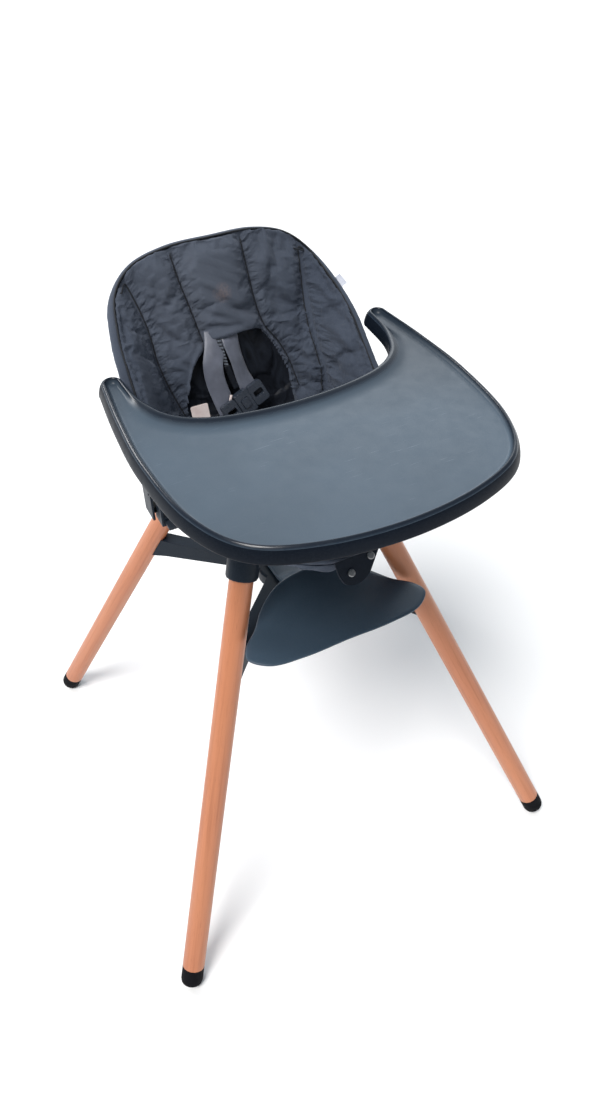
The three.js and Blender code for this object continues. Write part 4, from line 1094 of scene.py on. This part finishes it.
def strap(name, replaces=(), width=STRAP_WIDTH, material=WEBBING, cup=0.0):
    """A strap along its HARNESS route; cup is how far its edges stand out from its middle."""
    route = catmull(HARNESS[name], STRAP_STATIONS)
    line, turns = route[:, :3], route[:, 3]
    tangent = unit(np.gradient(line, axis=0))
    side = unit(np.array([1.0, 0, 0]) - tangent * tangent[:, :1])
    out = np.cross(side, tangent)
    out[out[:, 1] > 0] *= -1
    angle = np.radians(turns)[:, None]
    side, out = side * np.cos(angle) + out * np.sin(angle), out * np.cos(angle) - side * np.sin(angle)
    half = width / 2
    across = np.linspace(-half + 0.6, half - 0.6, 9)
    section = [*((w, 0.5) for w in across), (half, 0.2), (half, -0.2)]
    section += [*((w, -0.5) for w in across[::-1]), (-half, -0.2), (-half, 0.2)]
    rows = []
    for p, s, o in zip(line, side, out):
        rows.append([p + s * w + o * (t * STRAP_THICK + cup * (w / half) ** 2) for w, t in section])
    faces = loop_faces(len(rows), len(section), capped=True)
    made = mesh_object(name, np.array(rows).reshape(-1, 3), faces)
    finish_piece(made, material, CHAIR, replaces)


strap("strap_left", replaces=["shoulder_strap_left"], width=27, cup=-1.6)
strap("strap_right", replaces=["shoulder_strap_right"], cup=-1.6)
strap("strap_stitching", width=6, material=STITCHING)
# The tail inside the recess takes the lining, near-black as painted shade.
strap("strap_tail", width=8, material=SHADED_LINING)
strap("strap_loose_end", width=3.5, material=LABEL)
strap("strap_crotch", replaces=["crotch_strap"])


# ---- small pieces on the cover -----------------------------------------------------------------------
# The flap under the tray takes the darker copy of the cotton, painted shade.
dress("front_tab", SHADED_COTTON, 0.8)
# Its snaps take the darker copy of the steel, painted shade.
dress("front_snap", SHADED_NICKEL, 0.3)
dress("front_snap_upper", SHADED_NICKEL, 0.3)
dress("care_label", LABEL, 0.2)
dress("cover_tag", TAG_CLOTH, 0.2)


# ---- camera, floor and light -------------------------------------------------------------------------
CAMERA_AT = Vector((-0.3945, -0.8641, 1.3839))
CAMERA_TURN, CAMERA_TILT, CAMERA_ROLL = (math.radians(a) for a in (-26.96, 43.24, -0.47))
CAMERA_FILM = 36  # mm, the picture's longer side
CAMERA_LENS = 29.218
WORLD_STRENGTH = 0.26
BACKDROP_STRENGTH = 1.15
BACKDROP_AT = (0.5, 0.8, 0.42)  # the direction of the backdrop's middle
BACKDROP_FADE = (0.5, 0.95)  # the cosine of the angle from it, where the glow starts and is full
FLOOR_REACH = 60e3
SUN_WIDTH = 28  # degrees


def make_camera():
    a, e, r = CAMERA_TURN, CAMERA_TILT, CAMERA_ROLL
    back = Vector((math.sin(a) * math.cos(e), -math.cos(a) * math.cos(e), math.sin(e)))
    right = Vector((math.cos(a), math.sin(a), 0))
    up = back.cross(right)
    columns = (right * math.cos(r) + up * math.sin(r), up * math.cos(r) - right * math.sin(r), back)
    camera = bpy.data.objects.new("camera", bpy.data.cameras.new("camera"))
    camera.data.lens = CAMERA_LENS
    camera.data.sensor_width = CAMERA_FILM
    camera.data.clip_start = 0.01
    camera.matrix_world = Matrix.Translation(CAMERA_AT) @ Matrix(columns).transposed().to_4x4()
    bpy.context.scene.collection.objects.link(camera)
    bpy.context.scene.camera = camera


def area_light(name, at, target, size, power, color=(1, 1, 1)):
    light = bpy.data.lights.new(name, "AREA")
    light.shape = "RECTANGLE"
    light.size, light.size_y = size
    light.energy = power
    light.color = color
    obj = bpy.data.objects.new(name, light)
    obj.location = at
    obj.rotation_euler = (Vector(target) - Vector(at)).to_track_quat("-Z", "Y").to_euler()
    bpy.context.scene.collection.objects.link(obj)


def make_floor():
    ends = (-FLOOR_REACH, FLOOR_REACH)
    floor = mesh_object("floor", [(x, y, 0) for x in ends for y in ends], [(0, 2, 3, 1)])
    s = Surface("pale_floor", (0.9, 0.9, 0.9), 0.9, Specular_IOR_Level=0.0)
    s.color(s.mixed(s.remap(s.noise(3, 3), 0.3, 0.7), (0.95, 0.95, 0.95), (0.97, 0.97, 0.97)))
    floor.data.materials.append(s.material)


def make_world():
    """A dim studio with a broad pale backdrop behind the chair, to the right."""
    world = bpy.data.worlds.new("studio")
    world.use_nodes = True
    tree = world.node_tree
    background = tree.nodes["Background"]
    background.inputs["Color"].default_value = (0.86, 0.93, 1.0, 1)
    towards = tree.nodes.new("ShaderNodeVectorMath")
    towards.operation = "DOT_PRODUCT"
    towards.inputs[1].default_value = Vector(BACKDROP_AT).normalized()
    glow = tree.nodes.new("ShaderNodeMapRange")
    glow.interpolation_type = "SMOOTHSTEP"
    for socket, value in zip(range(1, 5), (*BACKDROP_FADE, WORLD_STRENGTH, BACKDROP_STRENGTH)):
        glow.inputs[socket].default_value = value
    place = tree.nodes.new("ShaderNodeTexCoord")
    tree.links.new(place.outputs["Generated"], towards.inputs[0])
    tree.links.new(towards.outputs["Value"], glow.inputs[0])
    tree.links.new(glow.outputs[0], background.inputs["Strength"])
    bpy.context.scene.world = world


def make_sun(azimuth, elevation, strength):
    """A wide, soft light; azimuth, from +x round to +y, and elevation are in degrees."""
    light = bpy.data.lights.new("overhead", "SUN")
    light.energy = strength
    light.angle = math.radians(SUN_WIDTH)
    light.color = (1.0, 0.98, 0.96)
    obj = bpy.data.objects.new("overhead", light)
    a, e = math.radians(azimuth), math.radians(elevation)
    towards = Vector((math.cos(a) * math.cos(e), math.sin(a) * math.cos(e), math.sin(e)))
    obj.rotation_euler = (-towards).to_track_quat("-Z", "Y").to_euler()
    bpy.context.scene.collection.objects.link(obj)


make_camera()
make_floor()
make_world()
make_sun(-152, 60, 2.9)
area_light("edge_softbox", (-1.6, 2.3, 1.9), (0, 0, 0.79), (0.9, 0.6), 22)
area_light("back_softbox", (1.3, 1.9, 2.2), (0, 0, 0.75), (1.6, 1.0), 12, (0.93, 0.97, 1.0))
bpy.context.scene.view_settings.view_transform = "Standard"
